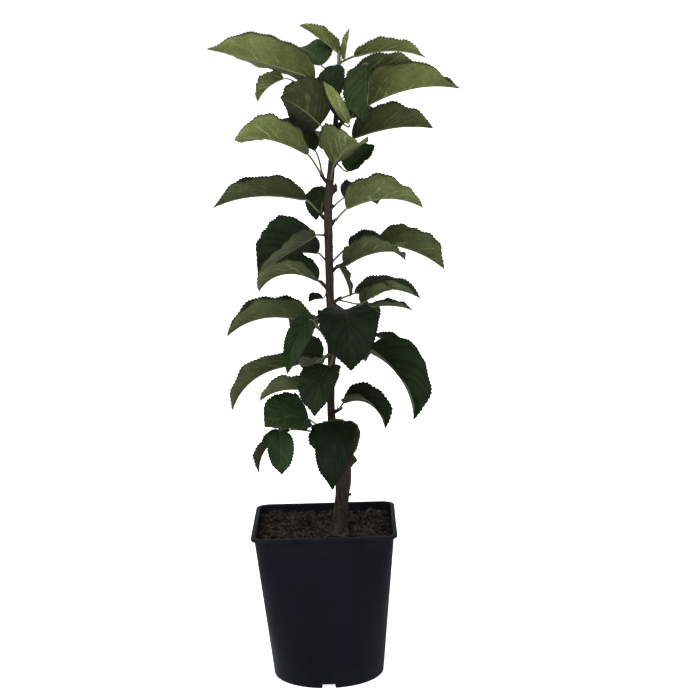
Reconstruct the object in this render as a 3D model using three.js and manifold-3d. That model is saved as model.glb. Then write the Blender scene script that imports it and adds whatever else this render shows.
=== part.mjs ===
// A young dwarf apple tree in a nursery pot: one upright stem, grafted low on a
// dwarfing rootstock, with short spurs that carry its leaves from near the soil to the tip.
// Millimetres, +Z up. The origin is the middle of the pot's foot, on the surface it stands on.
import * as THREE from 'three';
import { mergeVertices } from 'three/addons/utils/BufferGeometryUtils.js';
import Module from 'manifold-3d';

const wasm = await Module();
wasm.setup();

// ---- Driving dimensions -------------------------------------------------------------

const GAP = 0.3;                 // clearance between pieces that meet

const POT_WIDTH = 160;           // across the flats of the rim
const POT_HEIGHT = 176;
const POT_FOOT_DIAMETER = 124;
const WALL = 1.6;
const RIM_OVERHANG = 3.4;        // how far the rim stands out from the wall
const RIM_DEPTH = 4;             // height of the rim's skirt
const RIM_CORNER = 15;           // radius of the rim's corners, seen from above
const PLATE_HEIGHT = 4.5;        // the bottom plate is raised on a foot ring
const FOOT_RING = 8;             // width of the foot ring
const FOOT_PAD_DIAMETER = 34;    // round pad in the middle, level with the ring
const PAD_MARGIN = 3;            // the notches stop this far outside the pad
const NOTCH_WIDTH = 15;          // drain notches in the foot ring, one a side
const NOTCH_HEIGHT = 4.5;
const DRAIN_DIAMETER = 9;
const DRAIN_RADIUS = 40;         // the drain holes' distance from the middle
const DRAINS = 8;

const SOIL_BACK_RISE = 12;       // the soil's rise to the back, over the width of the pot
const SOIL_LEFT_RISE = 4;        // and to the left
const SOIL_LUMPS = 40;
const SOIL_LUMP_RISE = 2.2;
const SOIL_LUMP_LEAST = 6;       // a lump's radius lies between these two
const SOIL_LUMP_MOST = 13;
const LEVEL_MARGIN = 5;          // round the trunk's foot the soil is level as far as this
const LEVEL_FADE = 12;           // and takes up its tilt and lumps over this distance
const SOIL_SEED = 7;

const TRUNK_TIP = 651.2;         // the stem's upper end, where the leading shoot goes on
const KNOB = { height: 236, turn: -8, rise: 38, reach: 18, diameter: 10 }; // rootstock's cut end
const KNOB_SWELL = 1.15;         // how much thicker it is where it leaves the trunk

const PETIOLE_DIAMETER = 2.4;
const SPUR_DIAMETER = 5;
const SPUR_TIP_DIAMETER = 3.6;
const BLADE_THICKNESS = 1.4;
const BLADE_SUNK = 1.5;          // a leaf stalk ends this far inside the blade's base
const STALK_SUNK = 1.2;          // and starts this far inside the spur
const MIDRIB_STEPS = 24;         // steps that add up a leaf's midrib

const POT_SIDES = 40;
const POT_ROWS = 2;
const PAD_SIDES = 24;
const DRAIN_SIDES = 10;
const TRUNK_SIDES = 12;
const TRUNK_ROWS = 36;
const ROW_POWER = 1.25;          // the trunk's rows stand closer towards its foot
const KNOB_SIDES = 8;
const SPUR_SIDES = 6;
const STALK_SIDES = 4;
const SOIL_RINGS = 6;
const BLADE_ALONG = 5;
const BLADE_ACROSS = 4;

// The trunk: height, sway along X, sway along Y, diameter. It starts at its flat foot in
// the soil with a flare, swells at the rootstock, steps over at the graft and then tapers.
const TRUNK = [
  [162, 14.5, 0, 24],
  [168, 15.5, 0, 20],
  [184, 18, 0, 17],
  [202, 20.2, 0, 16],
  [218, 22, 0.5, 17],
  [234, 22, 1, 17.5],
  [250, 18.5, 1, 14],
  [266, 14, 0.5, 10.5],
  [284, 11.5, 0, 9.2],
  [313, 11, -0.5, 8.6],
  [358, 13, -1, 8.6],
  [436, 13.5, 0, 9],
  [519, 14, 1, 9.4],
  [546, 16, 1, 9],
  [590, 21.5, 0, 7],
  [633, 27, 0, 5.2],
  [651.2, 29, 0, 4.6],
];

// The spurs, from the tip down and then round the back. Each is a short woody stem that
// leaves the trunk at a height, turned about Z and rising in degrees, with its leaves:
// place along the spur; leaf stalk's length, turn, rise;
// blade's length, width, turn, lift at its base, arch down to its tip, roll, fold, and how
// far the roll twists on from its base to its tip.
const SPURS = [
  { name: 'foliage_top', height: 651.5, turn: 80, rise: 74, reach: 42, leaves: [
    [0.85, 10, 80, 55, 56, 27, 160, 40, 12, -48, 30, 0],
    [0.75, 8, 0, 45, 34, 12, 20, 80, 5, 60, 30, 0],
    [0.8, 20, 30, 20, 80, 30, 5, 15, 40, 18, 48, 0],
    [0.45, 26, 145, 28, 44, 46, 125, 45, 40, 20, 15, 0],
    [0.25, 42, 330, 30, 74, 52, 264, -42, 46, -40, 34, 0],
    [0.1, 16, 30, 32, 78, 40, 8, 22, 22, 32, 30, 0],
    [0.72, 6, 230, 10, 52, 34, 256, -46, 36, -6, 14, 0],
  ] },
  { name: 'foliage_right_1', height: 608, turn: 0, rise: 50, reach: 14, leaves: [
    [1, 28, 350, 36, 110, 70, 350, 28, 42, 40, 34, -34],
    [1, 46, 279, 2, 52, 15, 183, 64, 8, -78, 12, 0],
  ] },
  { name: 'foliage_left_1', height: 628, turn: 170, rise: 55, reach: 14, leaves: [
    [1, 32, 175, 62, 123, 64, 172, 20, 8, -54, 26, 20],
    [1, 58, 170, 31, 40, 34, 195, -18, 50, -30, 30, 0],
  ] },
  { name: 'foliage_left_2', height: 582, turn: 190, rise: 50, reach: 14, leaves: [
    [1, 40, 264, 42, 54, 80, 165, 45, 25, -66, 22, 0],
  ] },
  { name: 'foliage_right_2', height: 566, turn: 320, rise: 50, reach: 14, leaves: [
    [1, 32, 10, 55, 90, 60, 5, 18, 30, 34, 30, 0],
    [1, 16, 340, -35, 44, 36, 30, 50, 30, -30, 20, 0],
  ] },
  { name: 'foliage_front_1', height: 548, turn: 285, rise: 55, reach: 10, leaves: [
    [1, 26, 285, 50, 54, 70, 304, 40, 30, 24, 36, 0],
  ] },
  { name: 'foliage_left_3', height: 552, turn: 190, rise: 50, reach: 12, leaves: [
    [1, 30, 190, 58, 84, 60, 190, 32, 44, 14, 30, -84],
    [1, 34, 115, 56, 66, 47, 165, 40, 30, 20, 20, 0],
  ] },
  { name: 'foliage_left_4', height: 512, turn: 190, rise: 45, reach: 12, leaves: [
    [1, 24, 195, 46, 104, 47, 192, 14, 38, 0, 60, -6],
    [1, 38, 90, 50, 40, 28, 250, -52, 30, 0, 16, 0],
  ] },
  { name: 'foliage_right_3', height: 501, turn: 350, rise: 60, reach: 12, leaves: [
    [1, 22, 345, 44, 88, 60, 350, 25, 58, 42, 34, -34],
  ] },
  { name: 'foliage_front_2', height: 493, turn: 250, rise: 30, reach: 10, leaves: [
    [1, 12, 200, 5, 78, 78, 203, -26, 6, 20, 50, 0],
  ] },
  { name: 'foliage_right_4', height: 453, turn: 10, rise: 45, reach: 12, leaves: [
    [1, 10, 350, 10, 66, 44, 345, 33, 45, 26, 38, 0],
    [1, 54, 12, 29, 82, 56, 355, -8, 36, 28, 38, 0],
    [1, 8, 300, 20, 40, 26, 300, -40, 40, 60, 20, 0],
  ] },
  { name: 'foliage_left_5', height: 436, turn: 180, rise: 45, reach: 12, leaves: [
    [1, 6, 180, 30, 74, 56, 188, 32, 92, 30, 36, -60],
    [0.4, 12, 215, -60, 18, 21, 200, 8, 40, 15, 15, 0],
  ] },
  { name: 'foliage_right_5', height: 418, turn: 10, rise: 40, reach: 12, leaves: [
    [1, 20, 0, 20, 76, 34, 355, 16, 50, -8, 42, 0],
    [1, 42, 25, -14, 48, 24, 0, 5, 30, 0, 25, 0],
    [1, 27, 345, -8, 40, 34, 350, 34, 24, 30, 20, 0],
  ] },
  { name: 'foliage_left_6', height: 380, turn: 180, rise: 45, reach: 12, leaves: [
    [1, 18, 185, 42, 100, 50, 190, 24, 68, -2, 58, 0],
    [1, 28, 225, 42, 76, 32, 240, -20, 60, 44, 28, 0],
  ] },
  { name: 'foliage_front_3', height: 360, turn: 290, rise: 40, reach: 12, leaves: [
    [1, 56, 304, 66, 102, 66, 275, 6, 108, 0, 6, 0],
    [1, 18, 250, -40, 74, 48, 250, -10, 75, 0, 15, 0],
    [1, 14, 205, -8, 34, 38, 175, 25, 60, 35, 25, 0],
  ] },
  { name: 'foliage_right_6', height: 358, turn: 20, rise: 45, reach: 14, leaves: [
    [1, 34, 350, 0, 104, 68, 312, -12, 75, -24, 46, 30],
    [1, 56, 40, 12, 68, 30, 5, -24, 20, -10, 25, 0],
  ] },
  { name: 'foliage_left_7', height: 336, turn: 180, rise: 40, reach: 14, leaves: [
    [1, 28, 190, 24, 96, 44, 184, -2, 72, -28, 30, 0],
    [1, 28, 215, -35, 54, 40, 195, 12, 50, -28, 30, 0],
  ] },
  { name: 'foliage_right_7', height: 296, turn: 340, rise: 35, reach: 12, leaves: [
    [1, 18, 295, 36, 70, 40, 325, 24, 112, -28, 44, 26],
  ] },
  { name: 'foliage_front_4', height: 288, turn: 285, rise: 30, reach: 10, leaves: [
    [1, 24, 300, 5, 92, 43, 255, -15, 80, 0, 8, 0],
    [1, 12, 250, -15, 38, 28, 230, -20, 70, 0, 20, 0],
  ] },
  { name: 'foliage_left_8', height: 268, turn: 190, rise: 40, reach: 12, leaves: [
    [1, 28, 200, 42, 60, 60, 215, 22, 52, 38, 14, 0],
    [1, 58, 205, 10, 50, 33, 275, -50, 40, 0, 20, 0],
    [1, 42, 190, 10, 64, 30, 190, -20, 75, -20, 30, 0],
  ] },
  { name: 'foliage_back_1', height: 634, turn: 95, rise: 50, reach: 12, leaves: [
    [1, 20, 80, 45, 86, 54, 70, 10, 60, 10, 22, 0],
    [1, 22, 120, 30, 76, 50, 130, 0, 55, -10, 22, 0],
  ] },
  { name: 'foliage_back_2', height: 588, turn: 80, rise: 50, reach: 12, leaves: [
    [1, 28, 60, 55, 84, 54, 45, 15, 40, -10, 22, 0],
    [1, 20, 105, 30, 70, 46, 98, 0, 40, 10, 22, 0],
  ] },
  { name: 'foliage_back_3', height: 518, turn: 60, rise: 45, reach: 12, leaves: [
    [1, 24, 50, 24, 58, 46, 48, 5, 40, -20, 22, 0],
    [1, 30, 100, 10, 62, 46, 105, 10, 40, 10, 22, 0],
  ] },
  { name: 'foliage_back_4', height: 456, turn: 90, rise: 45, reach: 12, leaves: [
    [1, 34, 40, 30, 80, 44, 30, 5, 50, -20, 22, 0],
    [1, 24, 125, 28, 78, 50, 140, 5, 50, 20, 22, 0],
  ] },
  { name: 'foliage_back_5', height: 388, turn: 85, rise: 45, reach: 12, leaves: [
    [1, 24, 70, 25, 92, 60, 65, 0, 60, 0, 22, 0],
    [1, 24, 120, 15, 84, 54, 110, -5, 60, 0, 22, 0],
  ] },
  { name: 'foliage_back_6', height: 341, turn: 75, rise: 45, reach: 12, leaves: [
    [1, 26, 70, 42, 80, 52, 65, 0, 45, 0, 22, 0],
    [1, 24, 105, 20, 72, 50, 110, -5, 55, 0, 22, 0],
  ] },
  { name: 'foliage_back_7', height: 272, turn: 90, rise: 40, reach: 12, leaves: [
    [1, 24, 80, 0, 80, 50, 85, -35, 40, 0, 22, 0],
  ] },
];

// ---- Shared helpers -----------------------------------------------------------------

const { cos, sin, abs, sqrt, min, max, PI } = Math;
const radians = THREE.MathUtils.degToRad;
const mix = THREE.MathUtils.lerp;

// Moves every vertex of a geometry to the place that shape gives for it.
function bend(geometry, shape) {
  const position = geometry.attributes.position;
  const point = new THREE.Vector3();
  for (let i = 0; i < position.count; i += 1) {
    point.copy(shape(point.fromBufferAttribute(position, i).clone()));
    position.setXYZ(i, point.x, point.y, point.z);
  }
  return geometry;
}

// A cylinder along +Z from 0 to 1 with radius 1, to be bent.
function tube(sides, rows) {
  const geometry = new THREE.CylinderGeometry(1, 1, 1, sides, rows);
  geometry.translate(0, 0.5, 0);
  return geometry.rotateX(PI / 2);
}

// Turns a closed geometry into a solid that can be cut and joined.
function solid(geometry) {
  const plain = geometry.index ? geometry.clone() : geometry;
  plain.deleteAttribute('normal');
  plain.deleteAttribute('uv');
  const merged = mergeVertices(plain, 1e-4);
  return new wasm.Manifold(new wasm.Mesh({
    numProp: 3,
    vertProperties: Float32Array.from(merged.attributes.position.array),
    triVerts: Uint32Array.from(merged.index.array),
  }));
}

// Turns a solid back into a geometry.
function surface(body) {
  const mesh = body.getMesh();
  const geometry = new THREE.BufferGeometry();
  geometry.setAttribute('position', new THREE.BufferAttribute(mesh.vertProperties, 3));
  geometry.setIndex(new THREE.BufferAttribute(mesh.triVerts, 1));
  geometry.computeVertexNormals();
  return geometry;
}

// The largest separate piece of a solid.
function largest(body) {
  const pieces = body.decompose();
  return pieces.reduce((best, piece) => (piece.volume() > best.volume() ? piece : best));
}

// Unit direction from a turn about +Z (0 is +X) and a rise above level, in degrees.
function heading(turn, rise) {
  const flat = cos(radians(rise));
  return new THREE.Vector3(
    flat * cos(radians(turn)), flat * sin(radians(turn)), sin(radians(rise)));
}

// A straight round rod, tapering from one radius to the other.
function rod(from, to, radius, tipRadius, sides) {
  const along = to.clone().sub(from);
  const turn = new THREE.Quaternion().setFromUnitVectors(
    new THREE.Vector3(0, 0, 1), along.clone().normalize());
  const length = along.length();
  return bend(tube(sides, 1), ({ x, y, z }) => {
    const r = mix(radius, tipRadius, z);
    return new THREE.Vector3(x * r, y * r, z * length).applyQuaternion(turn).add(from);
  });
}

// A seeded stream of numbers from 0 to 1.
function seeded(seed) {
  let state = seed;
  return () => {
    state = (state * 16807) % 2147483647;
    return state / 2147483647;
  };
}

// ---- Trunk --------------------------------------------------------------------------

// One column of the trunk's table at a height: a smooth curve through its stations, whose
// slope at each is that of the line between its neighbours.
function trunkValue(height, column) {
  const last = TRUNK.length - 1;
  let i = 0;
  while (i < last - 1 && height > TRUNK[i + 1][0]) i += 1;
  const slope = (k) => {
    const below = TRUNK[max(k - 1, 0)];
    const above = TRUNK[min(k + 1, last)];
    return (above[column] - below[column]) / (above[0] - below[0]);
  };
  const step = TRUNK[i + 1][0] - TRUNK[i][0];
  const t = min(max((height - TRUNK[i][0]) / step, 0), 1);
  return (2 * t ** 3 - 3 * t ** 2 + 1) * TRUNK[i][column]
    + (t ** 3 - 2 * t ** 2 + t) * step * slope(i)
    + (3 * t ** 2 - 2 * t ** 3) * TRUNK[i + 1][column]
    + (t ** 3 - t ** 2) * step * slope(i + 1);
}

function trunkAxis(height) {
  return new THREE.Vector3(trunkValue(height, 1), trunkValue(height, 2), height);
}

// Four low roots spread the flare at the foot; they fade out within a few centimetres.
const FLARE_ROOTS = 4;
const FLARE_REACH = 0.16;
const FLARE_HEIGHT = 16;
const FLARE_TURN = 0.6;          // radians that the roots are turned about the trunk

function flare(turn, height) {
  const fade = max(0, 1 - (height - TRUNK[0][0]) / FLARE_HEIGHT);
  return 1 + FLARE_REACH * fade * fade * cos(FLARE_ROOTS * turn + FLARE_TURN);
}

function trunkTube(clearance) {
  const foot = TRUNK[0][0];
  return bend(tube(TRUNK_SIDES, TRUNK_ROWS), ({ x, y, z }) => {
    const height = mix(foot, TRUNK_TIP, max(z, 0) ** ROW_POWER);
    const radius = trunkValue(height, 3) / 2 * flare(Math.atan2(y, x), height) + clearance;
    return trunkAxis(height).add(new THREE.Vector3(x * radius, y * radius, 0));
  });
}

function trunkSolid(clearance) {
  const start = trunkAxis(KNOB.height);
  const end = start.clone().addScaledVector(heading(KNOB.turn, KNOB.rise), KNOB.reach + clearance);
  const radius = KNOB.diameter / 2 + clearance;
  const knob = rod(start, end, radius * KNOB_SWELL, radius, KNOB_SIDES);
  return solid(trunkTube(clearance)).add(solid(knob));
}

// ---- Leaves -------------------------------------------------------------------------

// Half-width of a blade at a place along it, 0 to 1, as a share of its greatest half-width:
// full and rounded near its base, widest at two fifths, drawn out to its tip.
const BASE_POWER = 0.55;
const TIP_POWER = 0.75;
const WIDEST = 0.4125;           // what the two powers give at two fifths

function bladeWidth(s) {
  return s ** BASE_POWER * (1 - s) ** TIP_POWER / WIDEST;
}

// Where a blade's midrib has got to, and its frame there. It leaves its base at the lift
// angle and bows down by the arch angle on the way to its tip, most of it past the middle.
const ARCH_POWER = 1.3;

function midrib(leaf, base, s) {
  const point = base.clone();
  const whole = s * MIDRIB_STEPS;
  for (let i = 0; i < whole; i += 1) {
    const share = min(1, whole - i);
    const middle = (i + 0.5) / MIDRIB_STEPS;
    const rise = leaf.lift - leaf.arch * middle ** ARCH_POWER;
    point.addScaledVector(heading(leaf.turn, rise), share * leaf.long / MIDRIB_STEPS);
  }
  const rise = leaf.lift - leaf.arch * s ** ARCH_POWER;
  const along = heading(leaf.turn, rise);
  const up = heading(leaf.turn, rise + 90);
  const side = along.clone().cross(up);
  const roll = radians(leaf.roll + leaf.twist * s);
  return {
    point,
    side: side.clone().multiplyScalar(cos(roll)).addScaledVector(up, sin(roll)),
    up: up.clone().multiplyScalar(cos(roll)).addScaledVector(side, -sin(roll)),
  };
}

const BASE_HALF_WIDTH = 1.2;
const TIP_HALF_WIDTH = 0.7;
const EDGE_CURL = 5;             // degrees that the halves curl up by their edges
const UNDER_SIDE = 5;            // the box's last side, across -Z
const SQUARE_CORNERS = 6;        // the corners of the two triangles that fill one square

// A thin plate along +Y from 0 to 1, 1 to each side in X and Z. Its under side is split along
// the same diagonals as its upper side, so the two stay apart where a blade twists.
function thinPlate() {
  const plate = new THREE.BoxGeometry(2, 1, 2, BLADE_ACROSS, BLADE_ALONG, 1);
  plate.translate(0, 0.5, 0);
  const { index } = plate;
  const under = plate.groups[UNDER_SIDE];
  for (let i = under.start; i < under.start + under.count; i += SQUARE_CORNERS) {
    const [a, b, d, , c] = index.array.slice(i, i + SQUARE_CORNERS);
    index.array.set([a, b, c, a, c, d], i);
  }
  return plate;
}

// A blade: a thin plate in two halves folded up about its midrib.
function blade(leaf, base) {
  return bend(thinPlate(), ({ x, y, z }) => {
    const at = midrib(leaf, base, y);
    const least = mix(BASE_HALF_WIDTH, TIP_HALF_WIDTH, y);
    const out = abs(x) * max(leaf.wide / 2 * bladeWidth(y), least);
    const fold = radians(leaf.fold + EDGE_CURL * abs(x));
    return at.point
      .addScaledVector(at.side, Math.sign(x) * out * cos(fold))
      .addScaledVector(at.up, out * sin(fold) + z * BLADE_THICKNESS / 2);
  });
}

// A leaf: its stalk from the spur, sunk into its blade's base.
function leafSolid(leaf, root) {
  const direction = heading(leaf.stalkTurn, leaf.stalkRise);
  const base = root.clone().addScaledVector(direction, leaf.stalk);
  const end = base.clone().addScaledVector(direction, BLADE_SUNK);
  const radius = PETIOLE_DIAMETER / 2;
  const stalk = solid(rod(root, end, radius, radius / 2, STALK_SIDES));
  return stalk.add(solid(blade(leaf, base)));
}

// A spur with its leaves fused on, cut clear of the trunk.
function foliage(spur, keepOut) {
  const root = trunkAxis(min(spur.height, TRUNK_TIP));
  root.z = spur.height;
  const direction = heading(spur.turn, spur.rise);
  const tip = root.clone().addScaledVector(direction, spur.reach);
  let body = solid(rod(root, tip, SPUR_DIAMETER / 2, SPUR_TIP_DIAMETER / 2, SPUR_SIDES));
  for (const row of spur.leaves) {
    const [at, stalk, stalkTurn, stalkRise, long, wide, turn, lift, arch, roll, fold, twist] = row;
    const leaf = { stalk, stalkTurn, stalkRise, long, wide, turn, lift, arch, roll, fold, twist };
    const start = root.clone().addScaledVector(direction, spur.reach * at - STALK_SUNK);
    body = body.add(leafSolid(leaf, start));
  }
  return largest(body.subtract(keepOut));
}

// ---- Pot ----------------------------------------------------------------------------

// Distance from the middle to a square outline with round corners, in a direction.
function squareReach(turn, half, corner) {
  const c = abs(cos(turn));
  const s = abs(sin(turn));
  const flat = half / max(c, s);
  if (flat * min(c, s) <= half - corner) return flat;
  const centre = half - corner;
  const along = centre * (c + s);
  return along + sqrt(along * along - 2 * centre * centre + corner * corner);
}

// The pot's outline at a share of its height: a square with round corners at the rim, whose
// corners grow rounder on the way down until they make the circle of the foot.
function potReach(turn, share, inset) {
  const foot = POT_FOOT_DIAMETER / 2;
  const half = mix(foot, POT_WIDTH / 2 - RIM_OVERHANG, share);
  const corner = mix(foot, RIM_CORNER - RIM_OVERHANG, share);
  return squareReach(turn, half - inset, corner - inset);
}

// A closed stack of outlines. Each row gives a height and the distance to the outline in
// a direction.
function stack(rows) {
  return bend(tube(POT_SIDES, rows.length - 1), ({ x, y, z }) => {
    const row = rows[Math.round(z * (rows.length - 1))];
    const distance = Math.hypot(x, y) * row.reach(Math.atan2(y, x));
    const turn = Math.atan2(y, x);
    return new THREE.Vector3(distance * cos(turn), distance * sin(turn), row.height);
  });
}

// A straight stack of the pot's wall outline, inset, between two heights.
function potStack(inset, low, high) {
  const rows = [];
  for (let i = 0; i <= POT_ROWS; i += 1) {
    const height = mix(low, high, i / POT_ROWS);
    rows.push({ height, reach: (turn) => potReach(turn, height / POT_HEIGHT, inset) });
  }
  return solid(stack(rows));
}

function rimStack(inset, low, high) {
  const reach = (turn) => squareReach(turn, POT_WIDTH / 2, RIM_CORNER) - inset;
  return solid(stack([{ height: low, reach }, { height: high, reach }]));
}

function disc(radius, low, high, x, y, sides) {
  return solid(rod(new THREE.Vector3(x, y, low), new THREE.Vector3(x, y, high),
    radius, radius, sides));
}

function potSolid() {
  const skirt = POT_HEIGHT - RIM_DEPTH;
  const under = POT_HEIGHT - WALL;
  const far = POT_FOOT_DIAMETER;
  let pot = potStack(0, 0, POT_HEIGHT);
  // The rim turns out and down, so it is open underneath between its skirt and the wall.
  const rim = rimStack(0, skirt, POT_HEIGHT).subtract(rimStack(WALL, skirt - 1, under));
  pot = pot.add(rim);
  pot = pot.subtract(potStack(WALL, PLATE_HEIGHT + WALL, POT_HEIGHT + 1));
  // Under the plate there is a hollow between the foot ring and the pad in the middle.
  const hollow = disc(POT_FOOT_DIAMETER / 2 - FOOT_RING, -1, PLATE_HEIGHT, 0, 0, POT_SIDES)
    .subtract(disc(FOOT_PAD_DIAMETER / 2, -2, PLATE_HEIGHT + 1, 0, 0, PAD_SIDES));
  pot = pot.subtract(hollow);
  const kept = FOOT_PAD_DIAMETER + 2 * PAD_MARGIN;
  const middle = solid(new THREE.BoxGeometry(kept, kept, 3 * NOTCH_HEIGHT));
  for (let side = 0; side < 2; side += 1) {
    const across = side ? NOTCH_WIDTH : 2 * far;
    const deep = side ? 2 * far : NOTCH_WIDTH;
    const notch = new THREE.BoxGeometry(across, deep, 2 * NOTCH_HEIGHT);
    pot = pot.subtract(solid(notch).subtract(middle));
  }
  for (let i = 0; i < DRAINS; i += 1) {
    const turn = (i + 0.5) / DRAINS * 2 * PI;
    const x = DRAIN_RADIUS * cos(turn);
    const y = DRAIN_RADIUS * sin(turn);
    pot = pot.subtract(disc(DRAIN_DIAMETER / 2, 0, 2 * PLATE_HEIGHT, x, y, DRAIN_SIDES));
  }
  return pot;
}

// ---- Soil ---------------------------------------------------------------------------

// The fill of compost: the pot's inside, with a lumpy top that is level only where the
// trunk stands in it.
function soilSolid() {
  const random = seeded(SOIL_SEED);
  const bottom = PLATE_HEIGHT + WALL + GAP;
  const [footHeight, footX, footY, footDiameter] = TRUNK[0];
  const lumps = Array.from({ length: SOIL_LUMPS }, () => ({
    x: (random() - 0.5) * POT_WIDTH,
    y: (random() - 0.5) * POT_WIDTH,
    size: mix(SOIL_LUMP_LEAST, SOIL_LUMP_MOST, random()),
    rise: mix(-1, 1, random()) * SOIL_LUMP_RISE,
  }));
  const level = (x, y) => {
    const away = Math.hypot(x - footX, y - footY);
    const free = min(max((away - footDiameter / 2 - LEVEL_MARGIN) / LEVEL_FADE, 0), 1);
    let rise = (SOIL_BACK_RISE * y - SOIL_LEFT_RISE * x) / POT_WIDTH;
    for (const lump of lumps) {
      const d = Math.hypot(x - lump.x, y - lump.y) / lump.size;
      rise += lump.rise * Math.exp(-d * d);
    }
    return footHeight - GAP + free * rise;
  };
  // A block wider than the pot whose top rows close in to the foot of the trunk.
  const total = SOIL_RINGS + 1;
  const block = bend(tube(POT_SIDES, total), ({ x, y, z }) => {
    const row = Math.round(z * total);
    const turn = Math.atan2(y, x);
    const share = Math.hypot(x, y) * (1 - max(row - 1, 0) / SOIL_RINGS);
    const out = potReach(turn, footHeight / POT_HEIGHT, -WALL);
    const px = mix(footX, out * cos(turn), share);
    const py = mix(footY, out * sin(turn), share);
    return new THREE.Vector3(px, py, row ? level(px, py) : bottom);
  });
  const inside = potStack(WALL + GAP, PLATE_HEIGHT + WALL, POT_HEIGHT + 1);
  return solid(block).intersect(inside);
}

// ---- The object ---------------------------------------------------------------------

const black = new THREE.MeshStandardMaterial({ color: 0x15191f, roughness: 0.5, metalness: 0 });
const compost = new THREE.MeshStandardMaterial({ color: 0x2b1d13, roughness: 1, metalness: 0 });
const bark = new THREE.MeshStandardMaterial({ color: 0x4a4038, roughness: 0.9, metalness: 0 });
const leaf = new THREE.MeshStandardMaterial({ color: 0x3d4a28, roughness: 0.6, metalness: 0 });

const tree = new THREE.Group();

function addPiece(name, geometry, material) {
  const mesh = new THREE.Mesh(geometry, material.clone());
  mesh.name = name;
  tree.add(mesh);
}

addPiece('pot', surface(potSolid()), black);
addPiece('soil', surface(soilSolid()), compost);
addPiece('trunk', surface(trunkSolid(0)), bark);

const keepOut = trunkSolid(GAP);
for (const spur of SPURS) addPiece(spur.name, surface(foliage(spur, keepOut)), leaf);

export default tree;
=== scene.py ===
"""A young dwarf apple tree in a square-rimmed nursery pot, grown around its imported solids.

Inside the functions every size is in millimetres, and a mesh is brought to metres once, when
it is made. Turns about +Z, counted from +X, and rises above level are in degrees, and angles
round a ring in radians. A leaf, spur or stalk starts, turns and reaches as its solid does, and
is only worked out finer.
"""
from collections import namedtuple
from itertools import product

import bpy
import numpy as np
from mathutils import Matrix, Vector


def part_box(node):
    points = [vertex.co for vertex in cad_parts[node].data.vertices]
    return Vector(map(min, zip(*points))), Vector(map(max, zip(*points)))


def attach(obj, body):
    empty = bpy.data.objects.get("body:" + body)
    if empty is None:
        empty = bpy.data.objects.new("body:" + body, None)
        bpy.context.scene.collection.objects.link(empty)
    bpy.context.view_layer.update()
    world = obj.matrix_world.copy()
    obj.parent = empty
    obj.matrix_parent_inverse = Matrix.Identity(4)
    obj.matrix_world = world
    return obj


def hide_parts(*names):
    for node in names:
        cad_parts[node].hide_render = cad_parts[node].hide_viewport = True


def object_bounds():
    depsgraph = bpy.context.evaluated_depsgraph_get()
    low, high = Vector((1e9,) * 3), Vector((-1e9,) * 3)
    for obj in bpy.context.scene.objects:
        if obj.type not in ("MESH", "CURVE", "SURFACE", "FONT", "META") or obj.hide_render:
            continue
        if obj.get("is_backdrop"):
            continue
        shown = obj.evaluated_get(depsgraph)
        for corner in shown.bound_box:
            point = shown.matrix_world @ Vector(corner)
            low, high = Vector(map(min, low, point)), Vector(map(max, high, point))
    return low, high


bl_info = {
    "name": "Dwarf apple tree in a pot",
    "version": (1, 0, 0),
    "blender": (4, 5, 0),
    "location": "3D View > Sidebar > Tree",
    "description": "Grows a potted dwarf apple tree around its packed solids",
    "category": "Add Mesh",
}

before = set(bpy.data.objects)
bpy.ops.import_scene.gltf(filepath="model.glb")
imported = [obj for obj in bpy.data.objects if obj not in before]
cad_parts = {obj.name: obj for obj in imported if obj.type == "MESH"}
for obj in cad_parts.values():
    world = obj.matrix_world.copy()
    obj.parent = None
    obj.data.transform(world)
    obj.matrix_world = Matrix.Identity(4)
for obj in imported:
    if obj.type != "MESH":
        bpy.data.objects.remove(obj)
CAD_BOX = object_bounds()

MM = 0.001
POT_LOW, POT_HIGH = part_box("pot")

# ---- The tree's own measures ---------------------------------------------------------

# The trunk: height, sway along X, sway along Y, diameter.
TRUNK = np.array([
    (162, 14.5, 0, 24), (168, 15.5, 0, 20), (184, 18, 0, 17), (202, 20.2, 0, 16),
    (218, 22, 0.5, 17), (234, 22, 1, 17.5), (250, 18.5, 1, 14), (266, 14, 0.5, 10.5),
    (284, 11.5, 0, 9.2), (313, 11, -0.5, 8.6), (358, 13, -1, 8.6), (436, 13.5, 0, 9),
    (519, 14, 1, 9.4), (546, 16, 1, 9), (590, 21.5, 0, 7), (633, 27, 0, 5.2),
    (651.2, 29, 0, 4.6)])
FOOT, FOOT_AT, FOOT_RADIUS = TRUNK[0, 0], TRUNK[0, 1:3], TRUNK[0, 3] / 2
TIP = TRUNK[-1, 0]

Spur = namedtuple("Spur", "name height turn rise reach leaves")
Leaf = namedtuple(
    "Leaf", "at stalk stalk_turn stalk_rise long wide turn lift arch roll fold twist tone")
Knob = namedtuple("Knob", "height turn rise reach diameter")

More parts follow.
